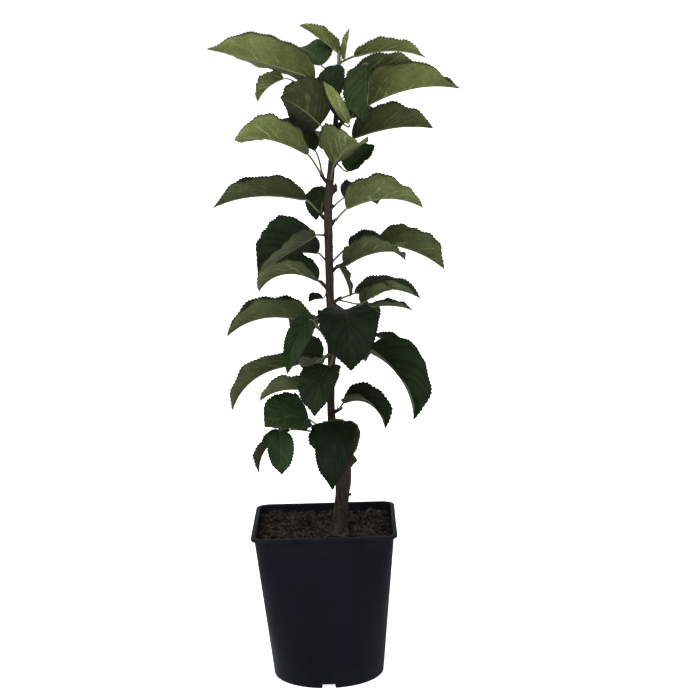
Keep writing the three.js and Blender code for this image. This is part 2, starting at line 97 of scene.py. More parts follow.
# The spurs: name, height on the trunk, turn, rise, reach, and their leaves. A leaf has its
# place along the spur; its stalk's length, turn and rise; its blade's length, width, turn,
# lift at the base, arch down to the tip, roll, fold and twist; and how pale it is, 0 in the
# middle of the range. That paleness is partly the leaf's own tone and partly painted shade,
# lowest on leaves at the back and on leaves that lie in the shade of others.
SPURS = [
    ("foliage_top", 651.5, 80, 74, 42, [
        (0.85, 10, 80, 55, 56, 27, 160, 40, 12, -48, 30, 0, -0.1),
        (0.75, 8, 0, 45, 34, 12, 20, 80, 5, 60, 30, 0, 0.4),
        (0.8, 20, 30, 20, 80, 30, 5, 15, 40, 18, 48, 0, 0.75),
        (0.45, 26, 145, 28, 44, 46, 125, 45, 40, 20, 15, 0, 1.3),
        (0.25, 42, 330, 30, 74, 52, 264, -42, 46, -40, 34, 0, 0.1),
        (0.1, 16, 30, 32, 78, 40, 8, 22, 22, 32, 30, 0, -0.6),
        (0.72, 6, 230, 10, 52, 34, 256, -46, 36, -6, 14, 0, -0.8),
    ]),
    ("foliage_right_1", 608, 0, 50, 14, [
        (1, 28, 350, 36, 110, 70, 350, 28, 42, 40, 34, -34, 0),
        (1, 46, 279, 2, 52, 15, 183, 64, 8, -78, 12, 0, 0.9),
    ]),
    ("foliage_left_1", 628, 170, 55, 14, [
        (1, 32, 175, 62, 123, 64, 172, 20, 8, -54, 26, 20, 0.25),
        (1, 58, 170, 31, 40, 34, 195, -18, 50, -30, 30, 0, 0),
    ]),
    ("foliage_left_2", 582, 190, 50, 14, [
        (1, 40, 264, 42, 54, 80, 165, 45, 25, -66, 22, 0, -1.5),
    ]),
    ("foliage_right_2", 566, 320, 50, 14, [
        (1, 32, 10, 55, 90, 60, 5, 18, 30, 34, 30, 0, -0.9),
        (1, 16, 340, -35, 44, 36, 30, 50, 30, -30, 20, 0, 0),
    ]),
    ("foliage_front_1", 548, 285, 55, 10, [
        (1, 26, 285, 50, 54, 70, 304, 40, 30, 24, 36, 0, 0),
    ]),
    ("foliage_left_3", 552, 190, 50, 12, [
        (1, 30, 190, 58, 84, 60, 190, 32, 44, 14, 30, -84, 0.4),
        (1, 34, 115, 56, 66, 47, 165, 40, 30, 20, 20, 0, -0.5),
    ]),
    ("foliage_left_4", 512, 190, 45, 12, [
        (1, 24, 195, 46, 104, 47, 192, 14, 38, 0, 60, -6, -0.75),
        (1, 38, 90, 50, 40, 28, 250, -52, 30, 0, 16, 0, -0.6),
    ]),
    ("foliage_right_3", 501, 350, 60, 12, [
        (1, 22, 345, 44, 88, 60, 350, 25, 58, 42, 34, -34, 0.35),
    ]),
    ("foliage_front_2", 493, 250, 30, 10, [
        (1, 12, 200, 5, 78, 78, 203, -26, 6, 20, 50, 0, -0.4),
    ]),
    ("foliage_right_4", 453, 10, 45, 12, [
        (1, 10, 350, 10, 66, 44, 345, 33, 45, 26, 38, 0, -0.25),
        (1, 54, 12, 29, 82, 56, 355, -8, 36, 28, 38, 0, -0.6),
        (1, 8, 300, 20, 40, 26, 300, -40, 40, 60, 20, 0, -0.9),
    ]),
    ("foliage_left_5", 436, 180, 45, 12, [
        (1, 6, 180, 30, 74, 56, 188, 32, 92, 30, 36, -60, 0),
        (0.4, 12, 215, -60, 18, 21, 200, 8, 40, 15, 15, 0, -0.7),
    ]),
    ("foliage_right_5", 418, 10, 40, 12, [
        (1, 20, 0, 20, 76, 34, 355, 16, 50, -8, 42, 0, 0),
        (1, 42, 25, -14, 48, 24, 0, 5, 30, 0, 25, 0, 0),
        (1, 27, 345, -8, 40, 34, 350, 34, 24, 30, 20, 0, -0.3),
    ]),
    ("foliage_left_6", 380, 180, 45, 12, [
        (1, 18, 185, 42, 100, 50, 190, 24, 68, -2, 58, 0, -0.1),
        (1, 28, 225, 42, 76, 32, 240, -20, 60, 44, 28, 0, 1),
    ]),
    ("foliage_front_3", 360, 290, 40, 12, [
        (1, 56, 304, 66, 102, 66, 275, 6, 108, 0, 6, 0, -0.9),
        (1, 18, 250, -40, 74, 48, 250, -10, 75, 0, 15, 0, -0.1),
        (1, 14, 205, -8, 34, 38, 175, 25, 60, 35, 25, 0, 0),
    ]),
    ("foliage_right_6", 358, 20, 45, 14, [
        (1, 34, 350, 0, 104, 68, 312, -12, 75, -24, 46, 30, 0),
        (1, 56, 40, 12, 68, 30, 5, -24, 20, -10, 25, 0, -0.6),
    ]),
    ("foliage_left_7", 336, 180, 40, 14, [
        (1, 28, 190, 24, 96, 44, 184, -2, 72, -28, 30, 0, -0.2),
        (1, 28, 215, -35, 54, 40, 195, 12, 50, -28, 30, 0, 0),
    ]),
    ("foliage_right_7", 296, 340, 35, 12, [
        (1, 18, 295, 36, 70, 40, 325, 24, 112, -28, 44, 26, -0.7),
    ]),
    ("foliage_front_4", 288, 285, 30, 10, [
        (1, 24, 300, 5, 92, 43, 255, -15, 80, 0, 8, 0, -0.8),
        (1, 12, 250, -15, 38, 28, 230, -20, 70, 0, 20, 0, 0),
    ]),
    ("foliage_left_8", 268, 190, 40, 12, [
        (1, 28, 200, 42, 60, 60, 215, 22, 52, 38, 14, 0, 0.9),
        (1, 58, 205, 10, 50, 33, 275, -50, 40, 0, 20, 0, 0.9),
        (1, 42, 190, 10, 64, 30, 190, -20, 75, -20, 30, 0, -0.7),
    ]),
    ("foliage_back_1", 634, 95, 50, 12, [
        (1, 20, 80, 45, 86, 54, 70, 10, 60, 10, 22, 0, -0.6),
        (1, 22, 120, 30, 76, 50, 130, 0, 55, -10, 22, 0, -0.6),
    ]),
    ("foliage_back_2", 588, 80, 50, 12, [
        (1, 28, 60, 55, 84, 54, 45, 15, 40, -10, 22, 0, -0.6),
        (1, 20, 105, 30, 70, 46, 98, 0, 40, 10, 22, 0, -0.6),
    ]),
    ("foliage_back_3", 518, 60, 45, 12, [
        (1, 24, 50, 24, 58, 46, 48, 5, 40, -20, 22, 0, -0.6),
        (1, 30, 100, 10, 62, 46, 105, 10, 40, 10, 22, 0, -0.6),
    ]),
    ("foliage_back_4", 456, 90, 45, 12, [
        (1, 34, 40, 30, 80, 44, 30, 5, 50, -20, 22, 0, -0.6),
        (1, 24, 125, 28, 78, 50, 140, 5, 50, 20, 22, 0, -0.6),
    ]),
    ("foliage_back_5", 388, 85, 45, 12, [
        (1, 24, 70, 25, 92, 60, 65, 0, 60, 0, 22, 0, -0.6),
        (1, 24, 120, 15, 84, 54, 110, -5, 60, 0, 22, 0, -0.6),
    ]),
    ("foliage_back_6", 341, 75, 45, 12, [
        (1, 26, 70, 42, 80, 52, 65, 0, 45, 0, 22, 0, -0.6),
        (1, 24, 105, 20, 72, 50, 110, -5, 55, 0, 22, 0, -0.6),
    ]),
    ("foliage_back_7", 272, 90, 40, 12, [
        (1, 24, 80, 0, 80, 50, 85, -35, 40, 0, 22, 0, -0.9),
    ]),
]
SPURS = [Spur(*spur[:5], [Leaf(*row) for row in spur[5]]) for spur in SPURS]

# Which joined piece a mass of foliage goes to, by its least height and its side.
FRONT, BACK = ("top", "right", "left", "front"), ("back",)
TIERS = [
    ("leaves_top", 596, FRONT), ("leaves_upper", 536, FRONT), ("leaves_middle", 426, FRONT),
    ("leaves_lower", 346, FRONT), ("leaves_foot", 0, FRONT),
    ("leaves_back_upper", 496, BACK), ("leaves_back_lower", 0, BACK),
]

# Small buds on the bare lower stem: height, turn, size.
BUDS = np.array([
    (204, -4, 3.4), (224, 205, 2.8), (256, 110, 2.4), (305, 300, 2.2), (322, 60, 2.2),
    (348, 150, 2.2), (410, 250, 2.2), (466, 120, 2.4), (484, 330, 2.2), (534, 150, 2.2),
    (599, 100, 2.0), (617, 290, 2.0)])
RING_SCARS = (279, 444, 562, 624)   # heights where a season's growth began
VEIN_PAIRS, VEIN_LEAN, VEIN_CURVE = 6, 0.34, 0.12


# ---- Measures and colours that a user may change -------------------------------------

def paint(red, green, blue):
    """A display colour from 0 to 255 as the linear colour that a shader takes."""
    share = np.array([red, green, blue]) / 255
    low, high = share / 12.92, ((share + 0.055) / 1.055) ** 2.4
    return (*np.where(share <= 0.04045, low, high).tolist(), 1.0)


def length(name, description, default):
    """A size in metres that a user may change."""
    return bpy.props.FloatProperty(
        name=name, description=description, default=default, min=0, precision=5,
        subtype="DISTANCE", unit="LENGTH")


def number(name, description, default):
    """A count that a user may change."""
    return bpy.props.IntProperty(name=name, description=description, default=default, min=0)


def colour(name, description, *default):
    """A colour that a user may change, given as a display colour."""
    return bpy.props.FloatVectorProperty(
        name=name, description=description, default=paint(*default), size=4,
        min=0, max=1, subtype="COLOR")


class TreeSizes(bpy.types.PropertyGroup):
    """The sizes and counts that the pieces are grown by."""
    pot_width: length("Pot width", "Across the flats of the rim", POT_HIGH.x - POT_LOW.x)
    pot_height: length("Pot height", "From the foot to the rim", POT_HIGH.z - POT_LOW.z)
    pot_foot: length("Pot foot", "Diameter of the round foot", 0.124)
    pot_wall: length("Pot wall", "Thickness of the moulded wall", 0.0016)
    tooth_pitch: length("Tooth pitch", "Distance between the teeth of a leaf", 0.0031)
    tooth_depth: length("Tooth depth", "How far a tooth stands out", 0.0015)
    blade: length("Blade", "Thickness of a leaf blade", 0.0005)
    puff: length("Puff", "How far a blade swells between its veins", 0.0007)
    petiole: length("Leaf stalk", "Diameter of a leaf stalk", 0.0022)
    bark: length("Bark relief", "Depth of the ridges on the rootstock", 0.0011)
    crumb: length("Crumb", "Size of a large crumb of compost", 0.006)
    crumbs: number("Crumbs", "Loose crumbs on the compost", 1500)
    fibres: number("Fibres", "Loose fibres on the compost", 320)


class TreeColours(bpy.types.PropertyGroup):
    """The colours that the materials start from."""
    leaf_upper: colour("Upper side", "Upper side of a leaf", 37, 51, 26)
    leaf_under: colour("Under side", "Downy under side of a leaf", 101, 109, 71)
    stalk: colour("Leaf stalk", "Leaf stalks and midribs", 122, 129, 92)
    bark: colour("Bark", "Bark of the stem", 42, 36, 29)
    pot: colour("Pot", "Moulded plastic of the pot", 9, 12, 19)
    compost: colour("Compost", "Peat and bark compost", 60, 54, 47)
    floor: colour("Floor", "Studio floor", 247, 247, 247)


# ---- Shapes --------------------------------------------------------------------------

def heading(turn, rise):
    """Unit vectors from turns and rises in degrees."""
    turn, rise = np.broadcast_arrays(np.radians(turn), np.radians(rise))
    return np.stack([np.cos(rise) * np.cos(turn), np.cos(rise) * np.sin(turn), np.sin(rise)], -1)


def polar(reach, angle, height=0.0):
    """Points at a reach from the Z axis, an angle round it in radians and a height."""
    return np.stack(np.broadcast_arrays(
        reach * np.cos(angle), reach * np.sin(angle), height), -1)


def unit(vectors):
    """Vectors divided by their lengths."""
    return vectors / np.maximum(np.linalg.norm(vectors, axis=-1, keepdims=True), 1e-9)


def smooth(low, high, x):
    """0 below low, 1 above high, and three t squared less two t cubed between them."""
    t = np.clip((np.asarray(x, float) - low) / (high - low), 0, 1)
    return t * t * (3 - 2 * t)


def mix(one, other, share):
    """The way from one to the other by a share of it."""
    return one + (other - one) * share


def bulge(x, middle, width):
    """A bell that is 1 at its middle: e to the minus square of the distance by the width."""
    return np.exp(-((x - middle) / width) ** 2)


def cubic(t, start, leave, end, arrive):
    """A cubic from start to end as t goes from 0 to 1, with its slope at either."""
    return ((2 * t ** 3 - 3 * t ** 2 + 1) * start + (t ** 3 - 2 * t ** 2 + t) * leave
            + (3 * t ** 2 - 2 * t ** 3) * end + (t ** 3 - t ** 2) * arrive)


# Large primes that mix a corner's three counts, its seed and its octave into one number.
HASH = np.array([374761393, 668265263, 2147483647])
HASH_SEED, HASH_OCTAVE, HASH_STIR, HASH_MOST = 7919, 104729, 1274126177, 0xFFFF
OCTAVE_SHIFT = 17.3


def ripple(points, size, seed, octaves=1, stretch=1):
    """Lattice noise about 0, within 1, drawn out along Z by stretch: each corner of a grid of
    cubes has a value hashed from its three counts, and a point takes the mix of its cube's
    eight corners, eased by three t squared less two t cubed. Each octave halves the size and
    the reach of the one before."""
    total, reach, most = 0.0, 1.0, 0.0
    for octave in range(octaves):
        where = points / (1, 1, stretch) / size * 2 ** octave + OCTAVE_SHIFT * octave
        cell = np.floor(where).astype(np.int64)
        share = smooth(0, 1, where - cell)
        for corner in product((0, 1), repeat=3):
            key = (cell + corner) @ HASH + seed * HASH_SEED + octave * HASH_OCTAVE
            key = (key ^ (key >> 13)) * HASH_STIR
            key = (key ^ (key >> 16)) & HASH_MOST
            weight = np.prod(np.where(corner, share, 1 - share), axis=-1)
            total = total + reach * weight * (key / (HASH_MOST / 2) - 1)
        most += reach
        reach /= 2
    return total / most


def trunk_at(height):
    """The trunk's middle and radius at heights: a cubic through the table's stations, whose
    slope at each is that of the line between its two neighbours."""
    height = np.asarray(height, float)
    stations, values = TRUNK[:, 0], TRUNK[:, 1:]
    every, last = np.arange(len(TRUNK)), len(TRUNK) - 1
    below, above = np.maximum(every - 1, 0), np.minimum(every + 1, last)
    slope = (values[above] - values[below]) / (stations[above] - stations[below])[:, None]
    i = np.clip(np.searchsorted(stations, height) - 1, 0, last - 1)
    step = (stations[i + 1] - stations[i])[..., None]
    t = np.clip((height - stations[i])[..., None] / step, 0, 1)
    found = cubic(t, values[i], step * slope[i], values[i + 1], step * slope[i + 1])
    return np.stack([found[..., 0], found[..., 1], height], -1), found[..., 2] / 2


def carry(paths, radii, sides, flat=1.0):
    """Rings of a round profile carried along many paths at once, paths by points by 3. The
    ring's first direction starts square to X on a steep path and to Z on others, and is kept
    square to the path with as little turning as can be. flat narrows its other direction."""
    tangent = unit(np.gradient(paths, axis=1))
    steep = np.abs(tangent[:, :1, 2:]) > 0.8
    first = np.empty_like(paths)
    first[:, 0] = unit(np.cross(tangent[:, 0], np.where(steep, (1.0, 0, 0), (0, 0, 1.0))[:, 0]))
    for i in range(1, paths.shape[1]):
        along = np.sum(first[:, i - 1] * tangent[:, i], -1, keepdims=True)
        first[:, i] = unit(first[:, i - 1] - along * tangent[:, i])
    second = np.cross(tangent, first) * flat
    turn = 2 * np.pi * np.arange(sides)[:, None] / sides
    ring = np.cos(turn) * first[:, :, None] + np.sin(turn) * second[:, :, None]
    return paths[:, :, None] + radii[..., None, None] * ring


def swollen(rings, path, share):
    """Rings whose points move out from their path by a share of their distance to it."""
    return path[:, None] + (rings - path[:, None]) * (1 + share[..., None])


MAP_EDGE = 0.01     # how far a surface stays from the rim of its cell in the map


class Skin:
    """Gathers closed surfaces into one mesh. Each is rings of points round a path, with a
    point that closes either end; a ring turns so that its faces look outwards."""

    def __init__(self):
        self.points, self.squares, self.fans, self.marks = [], [], [], {}

    def add(self, rings, start, end, finish=0, **marks):
        """Joins ring i to ring i + 1 by squares, and the outer rings to their end points by
        fans of triangles. finish is the material of all columns, or one for each. marks are
        values for each point, or one for all. Each face has its place on the surface, from 0
        to 1 round it and along it."""
        rows, sides = rings.shape[:2]
        points = np.vstack([start[None], rings.reshape(-1, 3), end[None]])
        before, cell = sum(map(len, self.points)), len(self.points)
        finish = np.broadcast_to(finish, sides)
        i, j = np.indices((rows - 1, sides)).reshape(2, -1, 1)
        across, up = j + (0, 1, 1, 0), i + (0, 0, 1, 1)
        place = np.stack([across / sides, (up + 1) / (rows + 1)], -1)
        self.squares.append(
            (cell, before + 1 + up * sides + across % sides, place, finish[j[:, 0]]))
        column = np.arange(sides)[:, None]
        for tip, ring, level, edge, beside in (
                (0, 0, 0, 1, (1, 0)), (len(points) - 1, rows - 1, rows + 1, rows, (0, 1))):
            corners = np.hstack([tip + 0 * column, 1 + ring * sides + (column + beside) % sides])
            across = np.hstack([column + 0.5, column + beside]) / sides
            up = np.broadcast_to(np.array([level, edge, edge]) / (rows + 1), across.shape)
            self.fans.append((cell, before + corners, np.stack([across, up], -1), finish))
        for name, value in marks.items():
            value = np.broadcast_to(np.asarray(value, float), (len(points), 3))
            self.marks.setdefault(name, []).append(value)
        self.points.append(points)

    def make(self, name, materials, slot, nodes):
        """Writes the mesh in metres, with a map that gives each surface a cell of its own."""
        wide = int(np.ceil(np.sqrt(len(self.points))))
        tall = int(np.ceil(len(self.points) / wide))
        cells, corners, places, finishes = zip(*self.squares, *self.fans)
        places = [((MAP_EDGE + (1 - 2 * MAP_EDGE) * place + (cell % wide, cell // wide))
                   / (wide, tall)).reshape(-1, 2) for cell, place in zip(cells, places)]
        sizes = np.concatenate([np.full(*part.shape) for part in corners])
        corners = np.concatenate([part.ravel() for part in corners])
        mesh = bpy.data.meshes.new(name)
        mesh.vertices.add(sum(map(len, self.points)))
        mesh.loops.add(sizes.sum())
        mesh.polygons.add(len(sizes))
        for items, label, values, kind in (
                (mesh.vertices, "co", np.vstack(self.points) * MM, np.float32),
                (mesh.loops, "vertex_index", corners, np.int32),
                (mesh.polygons, "loop_start", np.cumsum(sizes) - sizes, np.int32),
                (mesh.polygons, "material_index", np.concatenate(finishes), np.int32)):
            items.foreach_set(label, values.astype(kind).ravel())
        mesh.update(calc_edges=True)
        layer = mesh.uv_layers.new(name="OFBake", do_init=False)
        layer.uv.foreach_set("vector", np.vstack(places).astype(np.float32).ravel())
        for mark, values in self.marks.items():
            attribute = mesh.attributes.new(mark, "FLOAT_VECTOR", "POINT")
            attribute.data.foreach_set("vector", np.vstack(values).astype(np.float32).ravel())
        mesh.shade_smooth()
        if mesh.validate():
            raise RuntimeError(f"{name}: the mesh had faults")
        for material in materials:
            mesh.materials.append(material)
        piece = bpy.data.objects.new(name, mesh)
        bpy.context.scene.collection.objects.link(piece)
        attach(piece, "root")
        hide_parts(*nodes)
        return piece


# ---- Shader parts --------------------------------------------------------------------

TIMES, OVER = "MULTIPLY", "MIX"


def feed(tree, inlets, values):
    """Links the values that are outlets to their inlets, and sets the others there."""
    for key, value in values.items():
        if isinstance(value, bpy.types.NodeSocket):
            tree.links.new(value, inlets[key])
        else:
            inlets[key].default_value = value


def add(tree, kind, inlets=(), outlet=0, **settings):
    """Adds a node with its settings and what feeds its inlets, and gives one of its outlets,
    or all of them where outlet is None."""
    node = tree.nodes.new("ShaderNode" + kind)
    for name, value in settings.items():
        setattr(node, name, value)
    feed(tree, node.inputs, dict(inlets))
    return node.outputs if outlet is None else node.outputs[outlet]


def sums(tree, operation, *values):
    """One operation of arithmetic on values or outlets."""
    return add(tree, "Math", enumerate(values), operation=operation)


def times(tree, *values):
    """Two values multiplied."""
    return sums(tree, "MULTIPLY", *values)


def weighted(tree, *parts):
    """The sum of values, each times its weight."""
    total = 0.0
    for value, weight in parts:
        total = sums(tree, "MULTIPLY_ADD", value, weight, total)
    return total


def spread(tree, value, low, high, to_low=0.0, to_high=1.0):
    """Maps low to high onto to_low to to_high, eased at both ends."""
    return add(tree, "MapRange", enumerate((value, low, high, to_low, to_high)),
               interpolation_type="SMOOTHSTEP")


def tint(tree, share, one, other, how=OVER):
    """One colour mixed with the other by a share: laid over it, or multiplied into it."""
    return add(tree, "Mix", {0: share, 6: one, 7: other}, 2, data_type="RGBA", blend_type=how)


def shade(base, factor):
    """A colour times a factor, at most white."""
    return (*[min(1.0, x * factor) for x in base[:3]], 1.0)


def layered(tree, base, share, dark, light, *layers):
    """A base colour, shaded from dark to light by a share, with colours laid on it in turn:
    how each mixes, where it lies, how strongly, and what it is."""
    hue = tint(tree, share, shade(base, dark), shade(base, light))
    for how, where, strength, laid in layers:
        where = where if strength == 1 else times(tree, where, strength)
        hue = tint(tree, where, hue, (*laid[:3], 1.0), how)
    return hue


def marks(tree, name):
    """The three parts of what a mesh notes for its points under a name."""
    noted = add(tree, "Attribute", attribute_name=name, outlet="Vector")
    return add(tree, "SeparateXYZ", {0: noted}, None)


def place(tree, name, outlet=None, **inlets):
    """Places a group in a material and gives one or all of its outlets."""
    return add(tree, "Group", inlets, outlet, node_tree=bpy.data.node_groups[name])


def group(name, inlets, build):
    """Makes a node group of floats. build adds the nodes, from the group's inlets, and gives
    what feeds each outlet."""
    tree = bpy.data.node_groups.new(name, "ShaderNodeTree")
    for label, default in inlets.items():
        socket = tree.interface.new_socket(label, in_out="INPUT", socket_type="NodeSocketFloat")
        socket.default_value = default
    outlets = build(tree, tree.nodes.new("NodeGroupInput").outputs)
    for label in outlets:
        tree.interface.new_socket(label, in_out="OUTPUT", socket_type="NodeSocketFloat")
    feed(tree, tree.nodes.new("NodeGroupOutput").inputs, outlets)


def mottle_nodes(tree, inner):
    """Patches and grain by place on the object: two noises, one of them finer, whose size is
    in millimetres, and that are drawn out along Z by stretch."""
    parts = add(tree, "CombineXYZ", {0: 1.0, 1: 1.0, 2: sums(tree, "DIVIDE", 1, inner["Stretch"])})
    where = add(tree, "VectorMath", {0: add(tree, "TexCoord", outlet="Object"), 1: parts},
                operation="MULTIPLY")
    per = sums(tree, "DIVIDE", 1 / MM, inner["Size"])
    return {label: spread(tree, add(tree, "TexNoise", {
        "Vector": where, "Scale": times(tree, per, finer), "Detail": inner["Detail"],
        "Roughness": 0.6}), 0.28, 0.72) for label, finer in (("Patches", 1.0), ("Grain", 7.0))}


def vein_nodes(tree, inner):
    """The veins of a blade from its marks: the count of side veins passed, the place across
    it, from -1 to 1, and its length. A side vein stands where the count is whole, wavers and
    fades by a noise, and ends before the margin. The midrib is where the place across is
    nil. Hollow falls from 1 on a vein to 0 within 4.5 mm of it. Foot shade is 1 at the
    blade's base and falls to 0 by its middle, and Outward light rises from the midrib to the
    margin: the materials paint shade and light by these three."""
    passed, across, size = marks(tree, "blade")
    u = sums(tree, "ABSOLUTE", across)
    where = add(tree, "TexCoord", outlet="Object")
    waver, fade = [add(tree, "TexNoise", {"Vector": where, "Scale": scale, "Detail": detail})
                   for scale, detail in ((130.0, 1.0), (55.0, 2.0))]
    bent = sums(tree, "MULTIPLY_ADD", waver, 0.5, passed)
    # The distance to the vein in millimetres, along the blade.
    near = times(tree, sums(tree, "PINGPONG", bent, 0.5),
                 sums(tree, "DIVIDE", times(tree, size, 100.0), inner["Pairs"]))
    wide = times(tree, inner["Width"], spread(tree, u, 0.0, 1.0, 1.3, 0.4))
    line = spread(tree, near, times(tree, wide, 0.2), wide, 1.0, 0.0)
    last = sums(tree, "SUBTRACT", inner["Pairs"], 2.0)
    ends = times(tree, spread(tree, u, 0.45, 0.85, 1.0, 0.0),
                 spread(tree, passed, last, inner["Pairs"], 1.0, 0.0))
    ends = times(tree, ends, spread(tree, fade, 0.4, 0.6, 0.1, 1.0))
    up = sums(tree, "DIVIDE", passed, inner["Pairs"])
    return {
        "Side veins": times(tree, line, ends),
        "Midrib": spread(tree, u, 0.01, 0.045, 1.0, 0.0),
        "Hollow": spread(tree, near, 0.0, 4.5, 1.0, 0.0),
        "Margin": spread(tree, u, 0.89, 0.97),
        "Foot": spread(tree, up, -0.1, 0.55, 1.0, 0.0),
        "Outward": spread(tree, u, 0.1, 0.95),
    }


def net_nodes(tree, inner):
    """The fine net of the smallest veins: cells of the given size in millimetres, as how
    near a place is to the edge between two cells."""
    edge = add(tree, "TexVoronoi", {
        "Vector": add(tree, "TexCoord", outlet="Object"),
        "Scale": sums(tree, "DIVIDE", 1 / MM, inner["Size"])},
        "Distance", feature="DISTANCE_TO_EDGE")
    return {"Net": spread(tree, edge, 0.02, 0.16, 1.0, 0.0)}


def plain(name, roughness, level):
    """A material with its plain shader; the level is how strongly it reflects."""
    material = bpy.data.materials.new(name)
    material.use_nodes = True
    tree = material.node_tree
    feed(tree, tree.nodes["Principled BSDF"].inputs,
         {"Specular IOR Level": level, "Roughness": roughness})
    return material, tree


def dress(material, hue, depth, *heights, **more):
    """Feeds a material its hue, a relief of a depth in millimetres, which is a weighted sum of
    heights, and what more its shader takes."""
    tree = material.node_tree
    relief = add(tree, "Bump", {
        "Height": weighted(tree, *heights), "Distance": depth * MM, "Strength": 1.0})
    more = {name.replace("_", " "): value for name, value in more.items()}
    feed(tree, tree.nodes["Principled BSDF"].inputs, {"Base Color": hue, "Normal": relief, **more})
    return material


def leaf_parts(tree, width, size, net):
    """What either side of a leaf goes by: its veins, patches, net, and how light and yellow it
    is."""
    light, yellow, _ = marks(tree, "leaf")
    return (place(tree, "leaf veins", Pairs=VEIN_PAIRS, Width=width),
            place(tree, "mottle", Size=size, Detail=3.0),
            place(tree, "vein net", "Net", Size=net), light, yellow)


def leaf_upper_material(colours):
    """Dark and faintly waxed, greyer in patches, and a little paler along the veins. Painted
    shade lies in the hollows along the veins, so that the blade looks paler where it swells
    between them, and each leaf's light mark is partly painted shade."""
    material, tree = plain("leaf upper side", 0.6, 0.09)
    veins, patches, net, light, yellow = leaf_parts(tree, 0.6, 16.0, 1.5)
    hue = layered(
        # Each leaf's light mark shades it from a fifth to nearly twice its base colour: partly its
        # own tone, partly painted shade.
        tree, colours.leaf_upper, light, 0.2, 1.9,
        (TIMES, yellow, 0.35, (1.5, 1.2, 0.8)),
        (TIMES, patches["Patches"], 1, (0.62, 0.7, 0.8)),
        # Painted shade in the hollows along the veins.
        (TIMES, veins["Hollow"], 1, (0.7, 0.7, 0.7)),
        (TIMES, net, 0.12, (2.0, 2.0, 2.0)),
        (TIMES, veins["Side veins"], 0.35, (2.4, 2.1, 1.8)),
        (TIMES, veins["Midrib"], 0.5, (3.2, 2.6, 2.0)),
        (OVER, veins["Margin"], 0.6, paint(22, 24, 17)))
    return dress(material, hue, 0.4, (net, -0.14), (veins["Hollow"], -0.5),
                 (veins["Side veins"], -0.2),
                 Roughness=spread(tree, patches["Grain"], 0.0, 1.0, 0.45, 0.65))


def leaf_under_material(colours):
    """Dull and downy and olive on young leaves, with faint paler veins and a fine net between
    them, and a dark rim where the upper side comes round the margin. Painted shade darkens it
    towards the stalk and in a band along the veins, and painted light brightens it towards the
    margin."""
    material, tree = plain("leaf under side", 0.85, 0.1)
    veins, patches, net, light, yellow = leaf_parts(tree, 1.5, 18.0, 1.7)
    hue = layered(
        # Each leaf's light mark shades it from an eighth to 1.7 times its base colour: partly its
        # own tone, partly painted shade.
        tree, colours.leaf_under, light, 0.12, 1.7,
        (TIMES, yellow, 1, (1.08, 1.0, 0.78)),
        (TIMES, patches["Patches"], 1, (0.66, 0.7, 0.62)),
        (TIMES, patches["Grain"], 1, (0.74, 0.77, 0.68)),
        # Painted shade towards the stalk, and painted light towards the margin.
        (TIMES, veins["Foot"], 1, (0.45, 0.45, 0.4)),
        (TIMES, veins["Outward"], 1, (1.5, 1.5, 1.66)),
        # Painted shade in a band along the veins.
        (TIMES, veins["Hollow"], 1, (0.84, 0.84, 0.82)),
        (TIMES, net, 0.4, (1.5, 1.5, 1.5)),
        (TIMES, veins["Side veins"], 1, (2.5, 2.5, 3.0)),
        (TIMES, veins["Midrib"], 0.8, (2.2, 2.2, 2.6)),
        (OVER, veins["Margin"], 0.85, paint(26, 30, 18)))
    return dress(material, hue, 0.4, (net, 0.2), (veins["Side veins"], 0.5),
                 (veins["Hollow"], 0.5), (patches["Grain"], 0.12),
                 Roughness=spread(tree, patches["Grain"], 0.0, 1.0, 0.78, 0.92),
                 Sheen_Weight=0.06, Sheen_Roughness=0.5)


def stalk_material(colours, name="leaf stalk"):
    """Pale green and downy, browner in places, as leaf stalks and midribs are."""
    material, tree = plain(name, 0.7, 0.15)
    patches = place(tree, "mottle", Size=9.0, Detail=4.0)
    light, _, woody = marks(tree, "leaf")
    hue = layered(
        # Each stalk takes its leaf's light mark, so it carries the same painted shade.
        tree, colours.stalk, light, 0.5, 1.05,
        (OVER, patches["Patches"], 0.35, paint(104, 100, 72)),
        (OVER, woody, 1, paint(86, 72, 58)))
    return dress(material, hue, 0.08, (patches["Grain"], 1),
                 Roughness=spread(tree, patches["Grain"], 0.0, 1.0, 0.6, 0.8))


def bark_material(colours, name="bark", age=1.0):
    """Grey-brown, streaked along the stem, with pale breathing pores and darker cracks."""
    material, tree = plain(name, 0.85, 0.08)
    streaks = place(tree, "mottle", Size=3.0, Stretch=6.0, Detail=5.0)
    patches = place(tree, "mottle", Size=14.0, Stretch=1.6, Detail=3.0)
    flat = add(tree, "VectorMath", {0: add(tree, "TexCoord", outlet="Object"), 1: (0.55, 0.55, 1)},
               operation="MULTIPLY")
    pores = spread(tree, add(tree, "TexVoronoi", {"Vector": flat, "Scale": 330.0}, "Distance"),
                   0.10, 0.22, 1.0, 0.0)
    hue = layered(
        tree, colours.bark, patches["Patches"], 0.55, 1.2,
        (OVER, streaks["Patches"], 0.4 * age, paint(104, 94, 84)),
        (OVER, streaks["Grain"], 0.4, shade(colours.bark, 0.35)),
        (OVER, pores, 0.55, paint(116, 104, 90)))
    return dress(material, hue, 0.45 * age, (streaks["Grain"], 0.35), (streaks["Patches"], 0.8),
                 (pores, 0.5), Roughness=spread(tree, patches["Grain"], 0.0, 1.0, 0.72, 0.95))


def cut_wood_material():
    """The weathered cut end of the rootstock: greyed wood with darker rings."""
    material, tree = plain("cut wood", 0.9, 0.2)
    rings = place(tree, "mottle", "Patches", Size=1.4, Detail=3.0)
    hue = tint(tree, rings, paint(58, 48, 40), paint(116, 100, 82))
    return dress(material, hue, 0.4, (rings, 1))


